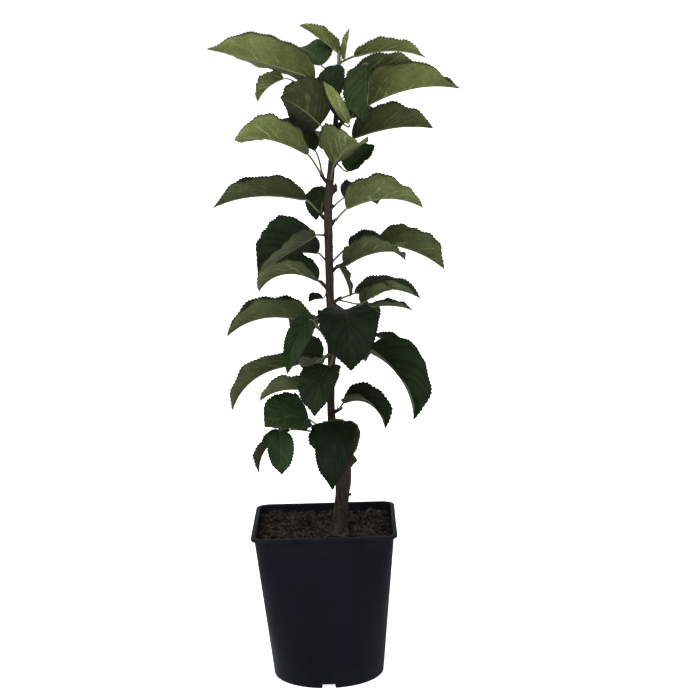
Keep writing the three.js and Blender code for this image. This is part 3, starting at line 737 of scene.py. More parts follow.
def pot_material(colours):
    """Black moulded plastic: a faint bloom of dust on the rim and the foot, fine rub marks and
    an orange-peel skin."""
    material, tree = plain("moulded plastic", 0.5, 0.055)
    film = place(tree, "mottle", "Patches", Size=45.0, Stretch=2.0, Detail=4.0)
    rubs = place(tree, "mottle", Size=2.2, Stretch=9.0, Detail=3.0)
    peel = place(tree, "mottle", "Grain", Size=6.0, Detail=2.0)
    height = add(tree, "SeparateXYZ", {0: add(tree, "TexCoord", outlet="Object")}, 2)
    rim, foot = spread(tree, height, 0.146, 0.177), spread(tree, height, 0.0, 0.03, 1.0, 0.0)
    hue = layered(
        tree, colours.pot, film, 0.8, 1.25,
        (OVER, times(tree, sums(tree, "MAXIMUM", rim, foot), film), 0.05, paint(92, 84, 74)),
        (OVER, rubs["Grain"], 0.03, paint(84, 92, 104)))
    rough = spread(tree, film, 0.0, 1.0, 0.42, 0.55)
    return dress(material, hue, 0.05, (peel, 1), (rubs["Patches"], 0.35),
                 Roughness=sums(tree, "MULTIPLY_ADD", rubs["Grain"], 0.10, rough))


def compost_material(colours, name, light, dark):
    """Peat and bark crumbs: brown, uneven, dull and rough down to its grains. The mesh's dark
    mark darkens it and its pale mark lightens it: on the fill these are painted shade in the
    hollows between crumbs and painted light on their heads, and on loose crumbs and fibres a
    tone that differs at random."""
    material, tree = plain(name, 0.95, 0.06)
    lumps = place(tree, "mottle", Size=7.0, Detail=5.0)
    grains = place(tree, "mottle", Size=2.0, Detail=4.0)
    dark_mark, pale_mark, _ = marks(tree, "crumb")
    hue = layered(
        tree, colours.compost, lumps["Patches"], dark, light,
        (OVER, grains["Grain"], 0.4, shade(colours.compost, 0.3)),
        # On the fill, painted shade in its hollows and painted light on its crumbs' heads; on
        # loose bits, a darker or paler tone at random.
        (OVER, dark_mark, 1, paint(21, 19, 17)),
        (OVER, pale_mark, 0.6, paint(104, 94, 80)))
    return dress(material, hue, 0.8, (lumps["Grain"], 1), (grains["Patches"], 0.6))


# ---- Pot -----------------------------------------------------------------------------

RIM_OVERHANG, RIM_CORNER, RIM_DEPTH = 3.4, 15.0, 4.0
PLATE_HEIGHT, FOOT_RING, PAD_RADIUS = 4.5, 8.0, 17.0
NOTCH_WIDTH, NOTCH_HEIGHT, NOTCH_EASE = 15.0, 4.5, 7.0
DRAINS, DRAIN_RADIUS, DRAIN_DIAMETER = 8, 40.0, 9.0
WALL_WAVE, WALL_WAVE_SIZE, WALL_TRUE, WALL_FREE = 0.0035, 55, 10, 60
GAP = 0.3                            # between the compost and the pot's inner sides


def square_reach(turn, half, corner):
    """Distance from the middle to a square outline with round corners, in a direction: to the
    flat side, or past its end to the corner's arc."""
    c, s = np.abs(np.cos(turn)), np.abs(np.sin(turn))
    flat = half / np.maximum(c, s)
    centre = half - corner
    along = centre * (c + s)
    arc = along + np.sqrt(np.maximum(along ** 2 - 2 * centre ** 2 + corner ** 2, 0))
    return np.where(flat * np.minimum(c, s) <= centre, flat, arc)


def pot_reach(turn, height, inset, sizes):
    """The wall's outline: a square with round corners at the rim, whose corners grow rounder
    on the way down until they make the circle of the foot."""
    foot, share = sizes.pot_foot / MM / 2, height / (sizes.pot_height / MM)
    half = mix(foot, sizes.pot_width / MM / 2 - RIM_OVERHANG, share)
    corner = mix(foot, RIM_CORNER - RIM_OVERHANG, share)
    return square_reach(turn, half - inset, corner - inset)


def pot_profile(sizes):
    """The pot's closed profile, from the middle of the pad out under the foot, up the wall,
    round the turned-out rim, down the inside and in over the plate. Each row is a circle of a
    radius, or an inset from the wall's or the rim's outline, and a height."""
    top, foot, wall = sizes.pot_height / MM, sizes.pot_foot / MM / 2, sizes.pot_wall / MM
    skirt, under, floor = top - RIM_DEPTH, top - wall, PLATE_HEIGHT + wall
    inner = foot - FOOT_RING
    bend = np.radians(np.linspace(200, 340, 5))
    runs = [
        ("round", (4, 9, 14, PAD_RADIUS - 0.8), 0),
        ("round", PAD_RADIUS + np.array([-0.2, 0, 0.2, 0.8]), (0.3, 1.0, 3.9, PLATE_HEIGHT)),
        ("round", np.linspace(20, inner - 1, 10), PLATE_HEIGHT),
        ("round", inner + np.array([-0.3, 0, 0.3, 0.9]), (4.0, 3.0, 0.8, 0.0)),
        ("round", (foot - 5, foot - 3, foot - 1.1), 0),
        ("wall", (0.5, 0.15, 0.0), (0.15, 0.5, 1.1)),
        ("wall", 0, np.linspace(3, skirt - 3, 44)),
        ("wall", (0, 0, 0, -0.15, -0.5), (skirt, skirt + 1, under - 0.8, under - 0.2, under)),
        ("rim", wall + np.array([0.5, 0.1, 0]), (under, under - 0.2, under - 0.6)),
        ("rim", wall, (skirt + 1.2, skirt + 0.7)),
        ("rim", wall / 2 * (1 - np.cos(bend)), skirt + wall / 2 * (1 + np.sin(bend))),
        ("rim", 0, (skirt + 1.2, skirt + 2.2)),
        ("rim", (0, 0.1, 0.4, 1.0, 2.2), top - np.array([1.2, 0.6, 0.2, 0.02, 0])),
        ("wall", (-0.8, wall - 1.0, wall - 0.4, wall - 0.1),
         top - np.array([0, 0.02, 0.25, 0.7])),
        ("wall", wall, np.linspace(top - 2, floor + 3, 40)),
        ("wall", wall + np.array([0.3, 1.0, 2.0]), floor + np.array([1, 0.2, 0])),
        ("round", np.linspace(inner, 4, 12), floor),
    ]
    return [(kind, *pair) for kind, measures, heights in runs
            for pair in np.broadcast(measures, heights)]


def pot_rings(sizes):
    """The profile carried round the pot: a row's reach in each direction is its radius, or its
    outline's reach less its inset. The ring that it stands on is cut away to the plate at each
    notch. A thin wall never moulds quite true: it waves by a quarter of a millimetre."""
    foot = sizes.pot_foot / MM / 2
    edge = np.degrees(np.arcsin(NOTCH_WIDTH / 2 / (foot - FOOT_RING / 2)))
    ends = np.add.outer(90 * np.arange(4), (-edge - 0.2, 0.2 - edge, edge - 0.2, edge + 0.2))
    turns = np.unique(np.round(np.append(np.arange(360) + 0.5, ends) % 360, 4))
    angle, in_notch = np.radians(turns), np.abs((turns + 45) % 90 - 45) < edge
    rings = []
    for kind, measure, height in pot_profile(sizes):
        if kind == "wall":
            reach = pot_reach(angle, height, measure, sizes)
        elif kind == "rim":
            reach = square_reach(angle, sizes.pot_width / MM / 2, RIM_CORNER) - measure
        else:
            reach = measure
        on_ring = kind == "wall" or measure > foot - FOOT_RING - 0.5
        lifted = mix(NOTCH_HEIGHT, NOTCH_EASE, np.clip(height / NOTCH_EASE, 0, 1))
        cut_away = in_notch & on_ring & (height < NOTCH_EASE)
        rings.append(polar(reach, angle, np.where(cut_away, lifted, height)))
    rings = np.array(rings)
    wave = ripple(rings * (1, 1, 0.6), WALL_WAVE_SIZE, 3)
    free = smooth(WALL_TRUE, WALL_FREE, rings[..., 2])
    rings[..., :2] *= 1 + (free * WALL_WAVE * wave)[..., None]
    return rings


class TREE_OT_pot(bpy.types.Operator):
    """Moulds the pot and cuts its drain holes"""
    bl_idname = "tree.pot"
    bl_label = "Pot"

    def execute(self, context):
        sizes, colours = context.scene.tree_sizes, context.scene.tree_colours
        floor = PLATE_HEIGHT + sizes.pot_wall / MM
        skin, drill = Skin(), Skin()
        skin.add(pot_rings(sizes), np.zeros(3), np.array([0, 0, floor]))
        pot = skin.make("pot_shell", [pot_material(colours)], "pot_plastic", ["pot"])
        turn = (np.arange(DRAINS) + 0.5) / DRAINS * 360
        path = heading(turn, 0)[:, None] * DRAIN_RADIUS + polar(
            0, 0, np.linspace(-2, 2 * floor, 3))
        for line, hole in zip(path, carry(path, np.full(path.shape[:2], DRAIN_DIAMETER / 2), 28)):
            drill.add(hole, line[0], line[-1])
        cutter = drill.make("drill", pot.data.materials, "pot_plastic", ["pot"])
        cut = pot.modifiers.new("drains", "BOOLEAN")
        cut.object, cut.operation, cut.solver = cutter, "DIFFERENCE", "EXACT"
        context.view_layer.update()
        drilled = bpy.data.meshes.new_from_object(
            pot.evaluated_get(context.evaluated_depsgraph_get()))
        pot.modifiers.clear()
        pot.data = drilled
        drilled.name = "pot_shell"
        bpy.data.objects.remove(cutter)
        return {"FINISHED"}


# ---- Compost -------------------------------------------------------------------------

SOIL_BACK_RISE, SOIL_LEFT_RISE, SOIL_SEED = 12, 4, 7
SOIL_LUMPS, SOIL_LUMP_RISE, SOIL_LUMP_SIZES = 40, 2.2, (6, 13)
SOIL_FLAT, SOIL_EASE = 5, 12         # level this far round the trunk's foot, eased over the next
SOIL_FADE = 4                        # how far either way of the foot's rim the crumbs fade out
SOIL_SIDES, SOIL_SIDE_ROWS, SOIL_TOP_ROWS, SOIL_SIDE_TOP = 300, 12, 111, 16
# How the fill paints shade into the hollows between its crumbs and light onto their heads.
HOLLOW_SHADE, HOLLOW_SHADE_FALL, HOLLOW_SHADE_MOST, HEAD_LIGHT_RISE, HEAD_LIGHT_FROM = 0.75, 0.9, 0.96, 0.6, 0.4
CRUMB_SHAPE, CRUMB_SIDES, CRUMB_FLAT = np.array([0.45, 1.0, 0.9, 0.5]), 6, 0.7
CRUMB_TILT, LARGE_CRUMBS = 24, 14    # one crumb in so many is large
FIBRE_ROWS, FIBRE_SIDES, FIBRE_CLEAR = 7, 4, 7


def seeded(seed):
    """A stream of numbers from 0 to 1: each state is 16807 times the last, less whole
    multiples of 2 to the 31 less 1."""
    most = 2 ** 31 - 1
    while True:
        seed = seed * 16807 % most
        yield seed / most


def soil_crumbs(x, y):
    """How far the crumbs of the compost's top stand above it: a ripple 7.5 mm wide by 2.1 mm,
    the size of one 3.2 mm wide by 0.9, and one 1.3 mm wide by 0.3."""
    flat = np.stack([x, y, 0 * x], -1)
    return (2.1 * ripple(flat, 7.5, 11, 2) + 0.9 * np.abs(ripple(flat, 3.2, 12, 2))
            + 0.3 * ripple(flat, 1.3, 13))


def soil_level(x, y, sizes):
    """The compost's height: a plane that rises to the back and left, and for each round lump
    its height times e to the minus square of the distance by its width, both eased in round
    the trunk's foot, which stands on the level, and the crumbs on those."""
    width = sizes.pot_width / MM
    numbers = seeded(SOIL_SEED)
    level = (SOIL_BACK_RISE * y - SOIL_LEFT_RISE * x) / width
    for _ in range(SOIL_LUMPS):
        at_x, at_y = (next(numbers) - 0.5) * width, (next(numbers) - 0.5) * width
        size = mix(*SOIL_LUMP_SIZES, next(numbers))
        lift = mix(-1, 1, next(numbers)) * SOIL_LUMP_RISE
        level = level + lift * np.exp(-((x - at_x) ** 2 + (y - at_y) ** 2) / size ** 2)
    away = np.hypot(x - FOOT_AT[0], y - FOOT_AT[1])
    free = np.clip((away - FOOT_RADIUS - SOIL_FLAT) / SOIL_EASE, 0, 1)
    rough = smooth(FOOT_RADIUS - SOIL_FADE, FOOT_RADIUS + SOIL_FADE, away)
    return FOOT - GAP + free * level + rough * soil_crumbs(x, y)


def soil_reach(turn, height, sizes):
    """How far the compost reaches: to a gap before the pot's inner side."""
    return pot_reach(turn, height, sizes.pot_wall / MM + GAP, sizes)


def soil_fill(sizes):
    """The fill: rings out over the bottom, up the sides, and in over the top to the trunk.
    Its marks paint shade into the hollows between its crumbs and light onto their heads."""
    angle = 2 * np.pi * np.arange(SOIL_SIDES) / SOIL_SIDES
    bottom = PLATE_HEIGHT + sizes.pot_wall / MM + GAP
    below = [(bottom, share) for share in (0.3, 0.7, 0.98, 1)]
    below += [(height, 1)
              for height in np.linspace(bottom + 2, FOOT - SOIL_SIDE_TOP, SOIL_SIDE_ROWS)]
    below = [polar(soil_reach(angle, height, sizes), angle, height) * (share, share, 1)
             for height, share in below]
    # The top ends on the wall at the height that it has there.
    near = polar(soil_reach(angle, FOOT, sizes), angle).T
    edge = polar(soil_reach(angle, soil_level(*near[:2], sizes), sizes), angle)[:, :2]
    share = 1 - np.linspace(0, 1, SOIL_TOP_ROWS + 1)[:-1] ** 0.92
    top = mix(FOOT_AT, edge, share[:, None, None])
    top = np.dstack([top, soil_level(top[..., 0], top[..., 1], sizes)])
    rings = np.concatenate([below, top])
    start, end = np.array([0, 0, bottom]), np.array([*FOOT_AT, FOOT - GAP])
    stand = soil_crumbs(*np.vstack([start, rings.reshape(-1, 3), end])[:, :2].T)
    # Painted shade in the hollows between crumbs, and painted light on their heads.
    dark_mark = np.clip(HOLLOW_SHADE - HOLLOW_SHADE_FALL * stand, 0, HOLLOW_SHADE_MOST)
    pale_mark = np.clip(HEAD_LIGHT_RISE * stand - HEAD_LIGHT_FROM, 0, 1)
    return [(rings, start, end, np.stack([dark_mark, pale_mark, 0 * stand], -1))]


def soil_crumb_bits(sizes, rng):
    """Loose crumbs of many sizes, the largest first: short rough six-sided lumps that lie
    about on the top and are sunk in it by up to a quarter of their size."""
    count, large = sizes.crumbs, sizes.crumb / MM
    turn = rng.uniform(0, 2 * np.pi, count)
    share = np.sqrt(rng.uniform(0.012, 0.955, count))
    size = large * rng.uniform(0.16, 0.62, count) ** 1.5
    size[: count // LARGE_CRUMBS] = large * rng.uniform(0.4, 0.62, count // LARGE_CRUMBS)
    middle = polar((soil_reach(turn, FOOT, sizes) - 1.4 - 1.3 * size) * share, turn)
    middle[:, 2] = soil_level(*middle[:, :2].T, sizes) + size * rng.uniform(-0.25, 0.45, count)
    lie = heading(rng.uniform(0, 360, count), rng.normal(0, CRUMB_TILT, count))
    half = lie * (size * rng.uniform(0.8, 1.7, count))[:, None]
    rows = len(CRUMB_SHAPE)
    path = middle[:, None] + np.linspace(-1, 1, rows)[None, :, None] * half[:, None]
    radii = size[:, None] * CRUMB_SHAPE * rng.uniform(0.7, 1.1, (count, rows))
    core = middle[:, None, None]
    rings = core + (carry(path, radii, CRUMB_SIDES, CRUMB_FLAT) - core) * rng.uniform(
        0.72, 1.2, (count, rows, CRUMB_SIDES, 1))
    marks = rng.uniform(0, 1, (count, 3)) ** (2.0, 3.0, 1.0)
    starts, ends = mix(path[:, [0, -1]], middle[:, None], -0.25).swapaxes(0, 1)
    return zip(rings, starts, ends, marks)


def soil_fibre_bits(sizes, rng):
    """Loose fibres: each walks on in a direction that turns evenly, and arches off the top by
    the square of a sine."""
    count, t = sizes.fibres, np.linspace(0, 1, FIBRE_ROWS)
    turn = rng.uniform(0, 2 * np.pi, count)
    out = soil_reach(turn, FOOT, sizes) - FIBRE_CLEAR
    out = out * np.sqrt(rng.uniform(0.05, 0.95, count))
    lie, bend, reach = [rng.uniform(*ends, count) for ends in ((0, 360), (-70, 70), (4, 13))]
    steps = heading(lie[:, None] + bend[:, None] * t, 0)[..., :2] * (
        reach / FIBRE_ROWS)[:, None, None]
    flat = polar(out, turn)[:, None, :2] + np.cumsum(steps, 1) - steps.sum(1, keepdims=True) / 2
    lift = soil_level(flat[..., 0], flat[..., 1], sizes) + 0.35 + rng.uniform(
        0, 1.6, count)[:, None] * np.sin(np.pi * t) ** 2
    path = np.dstack([flat, lift])
    radii = rng.uniform(0.12, 0.3, count)[:, None] * (0.5 + np.sin(np.pi * (0.1 + 0.8 * t)))
    marks = rng.uniform(0, 1, (count, 3)) ** (4.0, 1.2, 1.0)
    return zip(carry(path, radii, FIBRE_SIDES), path[:, 0], path[:, -1], marks)


class TREE_OT_compost(bpy.types.Operator):
    """Fills the pot with compost and scatters crumbs and fibres on it"""
    bl_idname = "tree.compost"
    bl_label = "Compost"

    def execute(self, context):
        sizes, colours = context.scene.tree_sizes, context.scene.tree_colours
        rng = np.random.default_rng(SOIL_SEED)
        for name, parts, light, dark in (
                ("compost", soil_fill(sizes), 1.7, 0.2),
                ("compost_crumbs", soil_crumb_bits(sizes, rng), 2.0, 0.3),
                ("compost_fibres", soil_fibre_bits(sizes, rng), 2.4, 0.7)):
            skin = Skin()
            for rings, start, end, noted in parts:
                skin.add(rings, start, end, crumb=noted)
            material = compost_material(colours, name.replace("_", " "), light, dark)
            skin.make(name, [material], "compost", ["soil"])
        return {"FINISHED"}


# ---- Trunk ---------------------------------------------------------------------------

TRUNK_ROWS, TRUNK_SIDES = 700, 96
SUNK = 3.0                           # how far the trunk's own mesh goes down into the compost
ROOTS, ROOT_TURN, ROOT_FLARE, ROOT_FADE = 4, 0.6, 0.16, 16
ROOTSTOCK_END = 232, 272             # heights between which the old bark ends
# Ripples of the bark: width, seed, octaves, and how far they are drawn out along the stem.
RIDGES, PLATES, GRAIN, BUMPS = (2.6, 21, 3, 5.5), (4.2, 22, 2, 2.4), (1.3, 23, 2, 0.6), (
    14, 24, 1, 1.3)
YOUNG_BARK, GRAIN_DEPTH, BUMP_DEPTH = 0.16, 0.16, 1.4
SCAR_RISE, SCAR_WIDTH, SCAR_STEP, SCARS = 0.42, 0.9, 0.5, (0, 5)
KNOB = Knob(236, -8, 38, 18, 10)     # the rootstock's cut end
KNOB_SIDES, KNOB_ROUGH, KNOB_GRAIN = 40, 0.11, (2.4, 31, 2, 3)
BUD_RISE, BUD_TURN_UP, BUD_SIDES = 30, 45, 10
BUD_SHAPE = np.array([0.8, 0.95, 1, 1, 0.92, 0.78, 0.58, 0.36, 0.16])


def trunk_rings(relief):
    """Level rings up the trunk: the table's radius, with four low roots that fade out above
    the foot, ridges drawn out along the stem that are deep on the rootstock and faint above
    it, a swelling under each spur and bud, and thin rings where a season's growth began."""
    height = mix(FOOT - SUNK, TIP, np.linspace(0, 1, TRUNK_ROWS) ** 1.12)[:, None]
    turn = (2 * np.pi * np.arange(TRUNK_SIDES) / TRUNK_SIDES)[None]
    centre, radius = trunk_at(height[:, 0])
    radius = radius[:, None]
    fade = np.clip(1 - (height - FOOT) / ROOT_FADE, 0, 1.2)
    flare = 1 + ROOT_FLARE * fade ** 2 * np.cos(ROOTS * turn + ROOT_TURN)
    old = 1 - smooth(*ROOTSTOCK_END, height)
    around = polar(radius, turn, height)
    ridges, plates = ripple(around, *RIDGES), np.abs(ripple(around, *PLATES))
    rough = (relief * (old + YOUNG_BARK) * (0.9 * ridges - 0.9 * plates + 0.25)
             + GRAIN_DEPTH * ripple(around, *GRAIN))
    bumps = BUMP_DEPTH * old * ripple(around, *BUMPS)
    swell = np.zeros_like(rough)
    # Swellings: height, turn, how far each stands out and how tall it is.
    swells = [(spur.height - 3, spur.turn, 1.3, 6.5) for spur in SPURS[1:]]
    swells += [(at - 2.5, toward, 0.75, 4.0) for at, toward, _ in BUDS]
    swells += [(KNOB.height + 3, KNOB.turn, 2.6, 9.0)]
    for at, toward, lift, tall in swells:
        away = (turn - np.radians(toward) + np.pi) % (2 * np.pi) - np.pi
        swell = swell + lift * np.exp(-((height - at) / tall) ** 2 - (away / 0.75) ** 2)
    scars = sum(SCAR_RISE * bulge(height - at, SCAR_STEP * k, SCAR_WIDTH)
                for at in RING_SCARS for k in SCARS)
    settle = mix(1.0, 0.25, smooth(TIP, TIP - 12, height))
    reach = radius * flare + (rough + bumps + swell + scars) * settle
    return centre[:, None] + polar(reach, turn), centre


def knob_parts():
    """The rootstock's cut end: a limb that swells on its way, and its cut face, whose rings
    are drawn in towards its middle, a little sunk. Each has rings, two ends and a material."""
    along = np.linspace(0, 1, KNOB_SIDES)
    direction = heading(KNOB.turn, KNOB.rise)
    path = trunk_at(KNOB.height)[0] + direction * KNOB.reach * along[:, None]
    radius = KNOB.diameter / 2 * (1.15 - 0.15 * along + 0.25 * bulge(along, 0.42, 0.12))
    radius[-3:] *= (0.99, 0.96, 0.9)
    limb = carry(path[None], radius[None], KNOB_SIDES)[0]
    limb = swollen(limb, path, KNOB_ROUGH * ripple(limb, *KNOB_GRAIN))
    tip = path[-1]
    face = np.array([tip + (limb[-1] - tip) * share - direction * sunk
                     for share, sunk in ((0.86, 0.1), (0.6, 0.35), (0.3, 0.5))])
    face = np.vstack([face[:1] - direction * 1.2, face])
    return [(limb, path[0], tip, 0), (face, tip - direction * 2.4, tip - direction * 0.55, 1)]


def bud_parts():
    """Small buds that leave the stem at a rise and turn upwards to their tips, carried along
    that path by the radii of a bud."""
    height, turn, size = BUDS.T
    centre, radius = trunk_at(height)
    root = centre + heading(turn, 0) * (radius + 0.2)[:, None] - heading(turn, BUD_RISE) * 0.8
    climb = heading(turn[:, None], BUD_RISE + BUD_TURN_UP * np.linspace(0, 1, len(BUD_SHAPE)))
    path = root[:, None] + np.cumsum(climb, 1) * (size * 1.25 / len(BUD_SHAPE))[:, None, None]
    rings = carry(path, size[:, None] * 0.46 * BUD_SHAPE, BUD_SIDES)
    return zip(rings, path[:, 0], path[:, -1] + (path[:, -1] - path[:, -2]) * 0.4)


class TREE_OT_trunk(bpy.types.Operator):
    """Grows the trunk with its bark, the rootstock's cut end and small buds"""
    bl_idname = "tree.trunk"
    bl_label = "Trunk"

    def execute(self, context):
        sizes, colours = context.scene.tree_sizes, context.scene.tree_colours
        skin = Skin()
        rings, centre = trunk_rings(sizes.bark / MM)
        skin.add(rings, centre[0], centre[-1] + (0, 0, 0.4))
        for part in (*knob_parts(), *bud_parts()):
            skin.add(*part)
        skin.make("stem", [bark_material(colours), cut_wood_material()], "bark", ["trunk"])
        return {"FINISHED"}


# ---- Spurs, stalks and leaves --------------------------------------------------------

MIDRIB_STEPS = 96
TOOTH_ROWS = 6                       # rows of the blade's grid to each tooth of its margin
TOOTH = np.array([0, 0.3, 0.56, 0.78, 0.94, 1.0])
HALF_ACROSS = np.array([0.03, 0.075, 0.15, 0.25, 0.36, 0.48, 0.6, 0.72, 0.83, 0.92, 1.0])
ACROSS = np.concatenate([-HALF_ACROSS[::-1], [0], HALF_ACROSS])
MIDDLE = len(HALF_ACROSS)
SWAY = 0.03                          # the most that a midrib sways, as a share of its length
TOOTH_SHIFT, TOOTH_FOOT, TOOTH_FULL = 3, 0.6, 6   # rows, share of a tooth, half-width in mm
FOLD_MORE = 5                        # degrees that a blade folds up more by at its margin
FULL_WIDTH, FULLEST = 50, 1.2        # a blade this wide waves and swells in full, at most so
WAVES, WAVE_REACH = ((1.6, 4.0), (2.8, 6.5)), (1.7, 0.8)   # least and most turns, and reach
GROOVE, GROOVE_WIDTH = 0.3, 0.9
STALK_ROWS, STALK_SIDES, RIB_ROWS, RIB_END = 18, 8, 46, 0.93
RIB_LEAST, RIB_SUNK, STALK_FOOT, STALK_WOOD = 0.22, 0.12, 3.0, 0.75
STIPULE_SHAPE = np.array([0.5, 0.8, 1.0, 1.0, 0.9, 0.75, 0.55, 0.35, 0.15])
STIPULE_REACH, STIPULE_HALF, STIPULE_SIDES, STIPULE_FLAT = (3.5, 8.0), 0.75, 6, 0.35
SPUR_ROWS, SPUR_SIDES, SPUR_BUD, SPUR_BEND, SPUR_FOOT, SPUR_END = 44, 14, 5.5, 0.5, 2.4, 1.75
SPUR_SCARS, SPUR_SCAR_RISE, SPUR_SCAR_WIDTH = 4, 0.28, 0.45


def spur_line(spur):
    """Where a spur starts on the trunk's axis, straight above its tip for the leading shoot,
    and its direction, from its turn and rise."""
    root = trunk_at(min(spur.height, TIP))[0]
    root[2] = spur.height
    return root, heading(spur.turn, spur.rise)


def blade_width(s):
    """Half-width along a blade as a share of the greatest: s to the 0.55 times what is left
    to the 0.75, full near the base, and narrowed past four fifths to a drawn-out tip."""
    return s ** 0.55 * (1 - s) ** 0.75 / 0.4125 * (1 - 0.42 * smooth(0.78, 1, s))


def midrib(leaf, base, s, sway):
    """Points of a blade's midrib and its frame there. It leaves its base at the lift, its rise
    falls by the arch times s to the 1.3, and it sways aside by a share of its length. The
    frame is rolled about the midrib, and twists on along it."""
    middle = (np.arange(MIDRIB_STEPS) + 0.5) / MIDRIB_STEPS
    steps = heading(leaf.turn, leaf.lift - leaf.arch * middle ** 1.3) * leaf.long / MIDRIB_STEPS
    walked = np.vstack([np.zeros(3), np.cumsum(steps, 0)])
    at = np.linspace(0, 1, MIDRIB_STEPS + 1)
    point = base + np.stack([np.interp(s, at, walked[:, k]) for k in range(3)], -1)
    rise = leaf.lift - leaf.arch * s ** 1.3
    along, up = heading(leaf.turn, rise), heading(leaf.turn, rise + 90)
    side = np.cross(along, up)
    point = point + side * (sway * leaf.long * np.sin(np.pi * s) * s)[:, None]
    roll = np.radians(leaf.roll + leaf.twist * s)[:, None]
    return (point, along, side * np.cos(roll) + up * np.sin(roll),
            up * np.cos(roll) - side * np.sin(roll))


def grown():
    """Every leaf with its mass, the spur point it starts from, its base, its own numbers, how
    light and how yellow it is, and its sway. Leaves are paler and yellower towards the tip,
    partly as young leaves are and partly as painted light on the top of the crown and painted
    shade lower down; a leaf's tone adds painted shade to leaves in the shade of others."""
    number = 900
    for spur in SPURS:
        root, direction = spur_line(spur)
        young = smooth(380, 600, spur.height)
        for leaf in spur.leaves:
            start = root + direction * (spur.reach * leaf.at - 1.2)
            base = start + heading(leaf.stalk_turn, leaf.stalk_rise) * leaf.stalk
            number += 1
            rng = np.random.default_rng(number)
            # How light a leaf looks: partly its own tone and age, and partly painted shade and
            # light by its place in the crown.
            light = mix(0.36, 0.58, young) + 0.36 * leaf.tone + rng.uniform(-0.06, 0.06)
            yellow = mix(0.1, 0.8, young) + rng.uniform(-0.2, 0.2)
            tones = np.clip([light, yellow], 0, 1)
            yield spur, leaf, start, base, rng, tones, rng.uniform(-SWAY, SWAY)


def blade_rings(leaf, base, rng, sway, sizes):
    """Rings round a thin blade, from its base to its tip, its end points and its marks. A
    point stands out from the midrib by its share of the half-width there, at the fold and a
    little more at the margin. The margin is cut in teeth that lean to the tip and waves by the
    sum of two sines, and the blade swells between its side veins by a sine to the 0.7. The
    upper skin runs from the left margin to the right, and the lower skin back."""
    waves = rng.uniform(*WAVES)
    phases = rng.uniform(0, 2 * np.pi, (2, 2))
    teeth = max(int(leaf.long * MM / sizes.tooth_pitch), 8)
    step = np.arange(1, teeth * TOOTH_ROWS)[:, None]
    s = step / (teeth * TOOTH_ROWS)
    point, _, side, up = midrib(leaf, base, s[:, 0], sway)
    half = leaf.wide / 2 * blade_width(s)
    u, out_to = ACROSS[None], np.abs(ACROSS[None])
    left = (u < 0).astype(int)
    count = step + left * TOOTH_SHIFT
    deep = sizes.tooth_depth / MM * rng.uniform(0.55, 1.15, (2, teeth + 2))
    tooth = (TOOTH[count % TOOTH_ROWS] - TOOTH_FOOT) * deep[left, count // TOOTH_ROWS]
    tooth = tooth * (np.minimum(1, half / TOOTH_FULL) * smooth(0.02, 0.12, s))
    out = out_to * half + out_to ** 6 * tooth
    fold = np.radians(leaf.fold + FOLD_MORE * out_to)
    size = min(leaf.wide / FULL_WIDTH, FULLEST)
    ends = smooth(0, 0.2, s) * (1 - 0.5 * smooth(0.85, 1, s))
    wave = sum(reach * np.sin(2 * np.pi * turns * s + phase[left])
               for reach, turns, phase in zip(WAVE_REACH, waves, phases))
    wave = wave * size * ends * out_to ** 2.2
    passed = (s - VEIN_LEAN * out_to - VEIN_CURVE * u ** 2) * VEIN_PAIRS + 0.4 * left
    passed = passed + 0.3 * np.sin(1.9 * passed + 6.3 * sway / SWAY * (1 + left))
    puff = sizes.puff / MM * size * (np.abs(np.sin(np.pi * passed)) ** 0.7 - 0.6)
    puff = puff * ends * smooth(0.03, 0.22, out_to) * (1 - 0.6 * smooth(0.75, 1, out_to))
    sheet = (point[:, None] + side[:, None] * (np.sign(u) * out * np.cos(fold))[..., None]
             + up[:, None] * (out * np.sin(fold) + wave + puff)[..., None])
    normal = unit(np.cross(np.gradient(sheet, axis=1), np.gradient(sheet, axis=0)))
    thick = sizes.blade / MM / 2
    groove = GROOVE * size * bulge(out, 0, GROOVE_WIDTH)
    upper, lower = sheet + normal * (thick - groove)[..., None], sheet - normal * thick
    upper[:, [0, -1]] = sheet[:, [0, -1]]
    marks = np.stack(np.broadcast_arrays(passed, u, leaf.long / 100), -1)
    rings, noted = [np.concatenate([over, under[:, -2:0:-1]], 1)
                    for over, under in ((upper, lower), (marks, marks))]
    noted = np.vstack([marks[0, MIDDLE], noted.reshape(-1, 3), marks[-1, MIDDLE]])
    tip = midrib(leaf, base, np.array([1.0]), sway)[0][0]
    return rings, base, tip, noted


class TREE_OT_leaves(bpy.types.Operator):
    """Grows every leaf blade, joined into one piece for each part of the crown"""
    bl_idname = "tree.leaves"
    bl_label = "Leaves"

    def execute(self, context):
        sizes, colours = context.scene.tree_sizes, context.scene.tree_colours
        materials = [leaf_upper_material(colours), leaf_under_material(colours)]
        finish = np.repeat([0, 1], len(ACROSS) - 1)
        skins = {name: (Skin(), set()) for name, _, _ in TIERS}
        for spur, leaf, _, base, rng, tones, sway in grown():
            rings, start, end, noted = blade_rings(leaf, base, rng, sway, sizes)
            side = spur.name.split("_")[1]
            name = next(name for name, low, sides in TIERS
                        if spur.height >= low and side in sides)
            skin, nodes = skins[name]
            skin.add(rings, start, end, finish, blade=noted, leaf=(*tones, 0))
            nodes.add(spur.name)
        for name, (skin, nodes) in skins.items():
            skin.make(name, materials, "foliage", sorted(nodes))
        return {"FINISHED"}


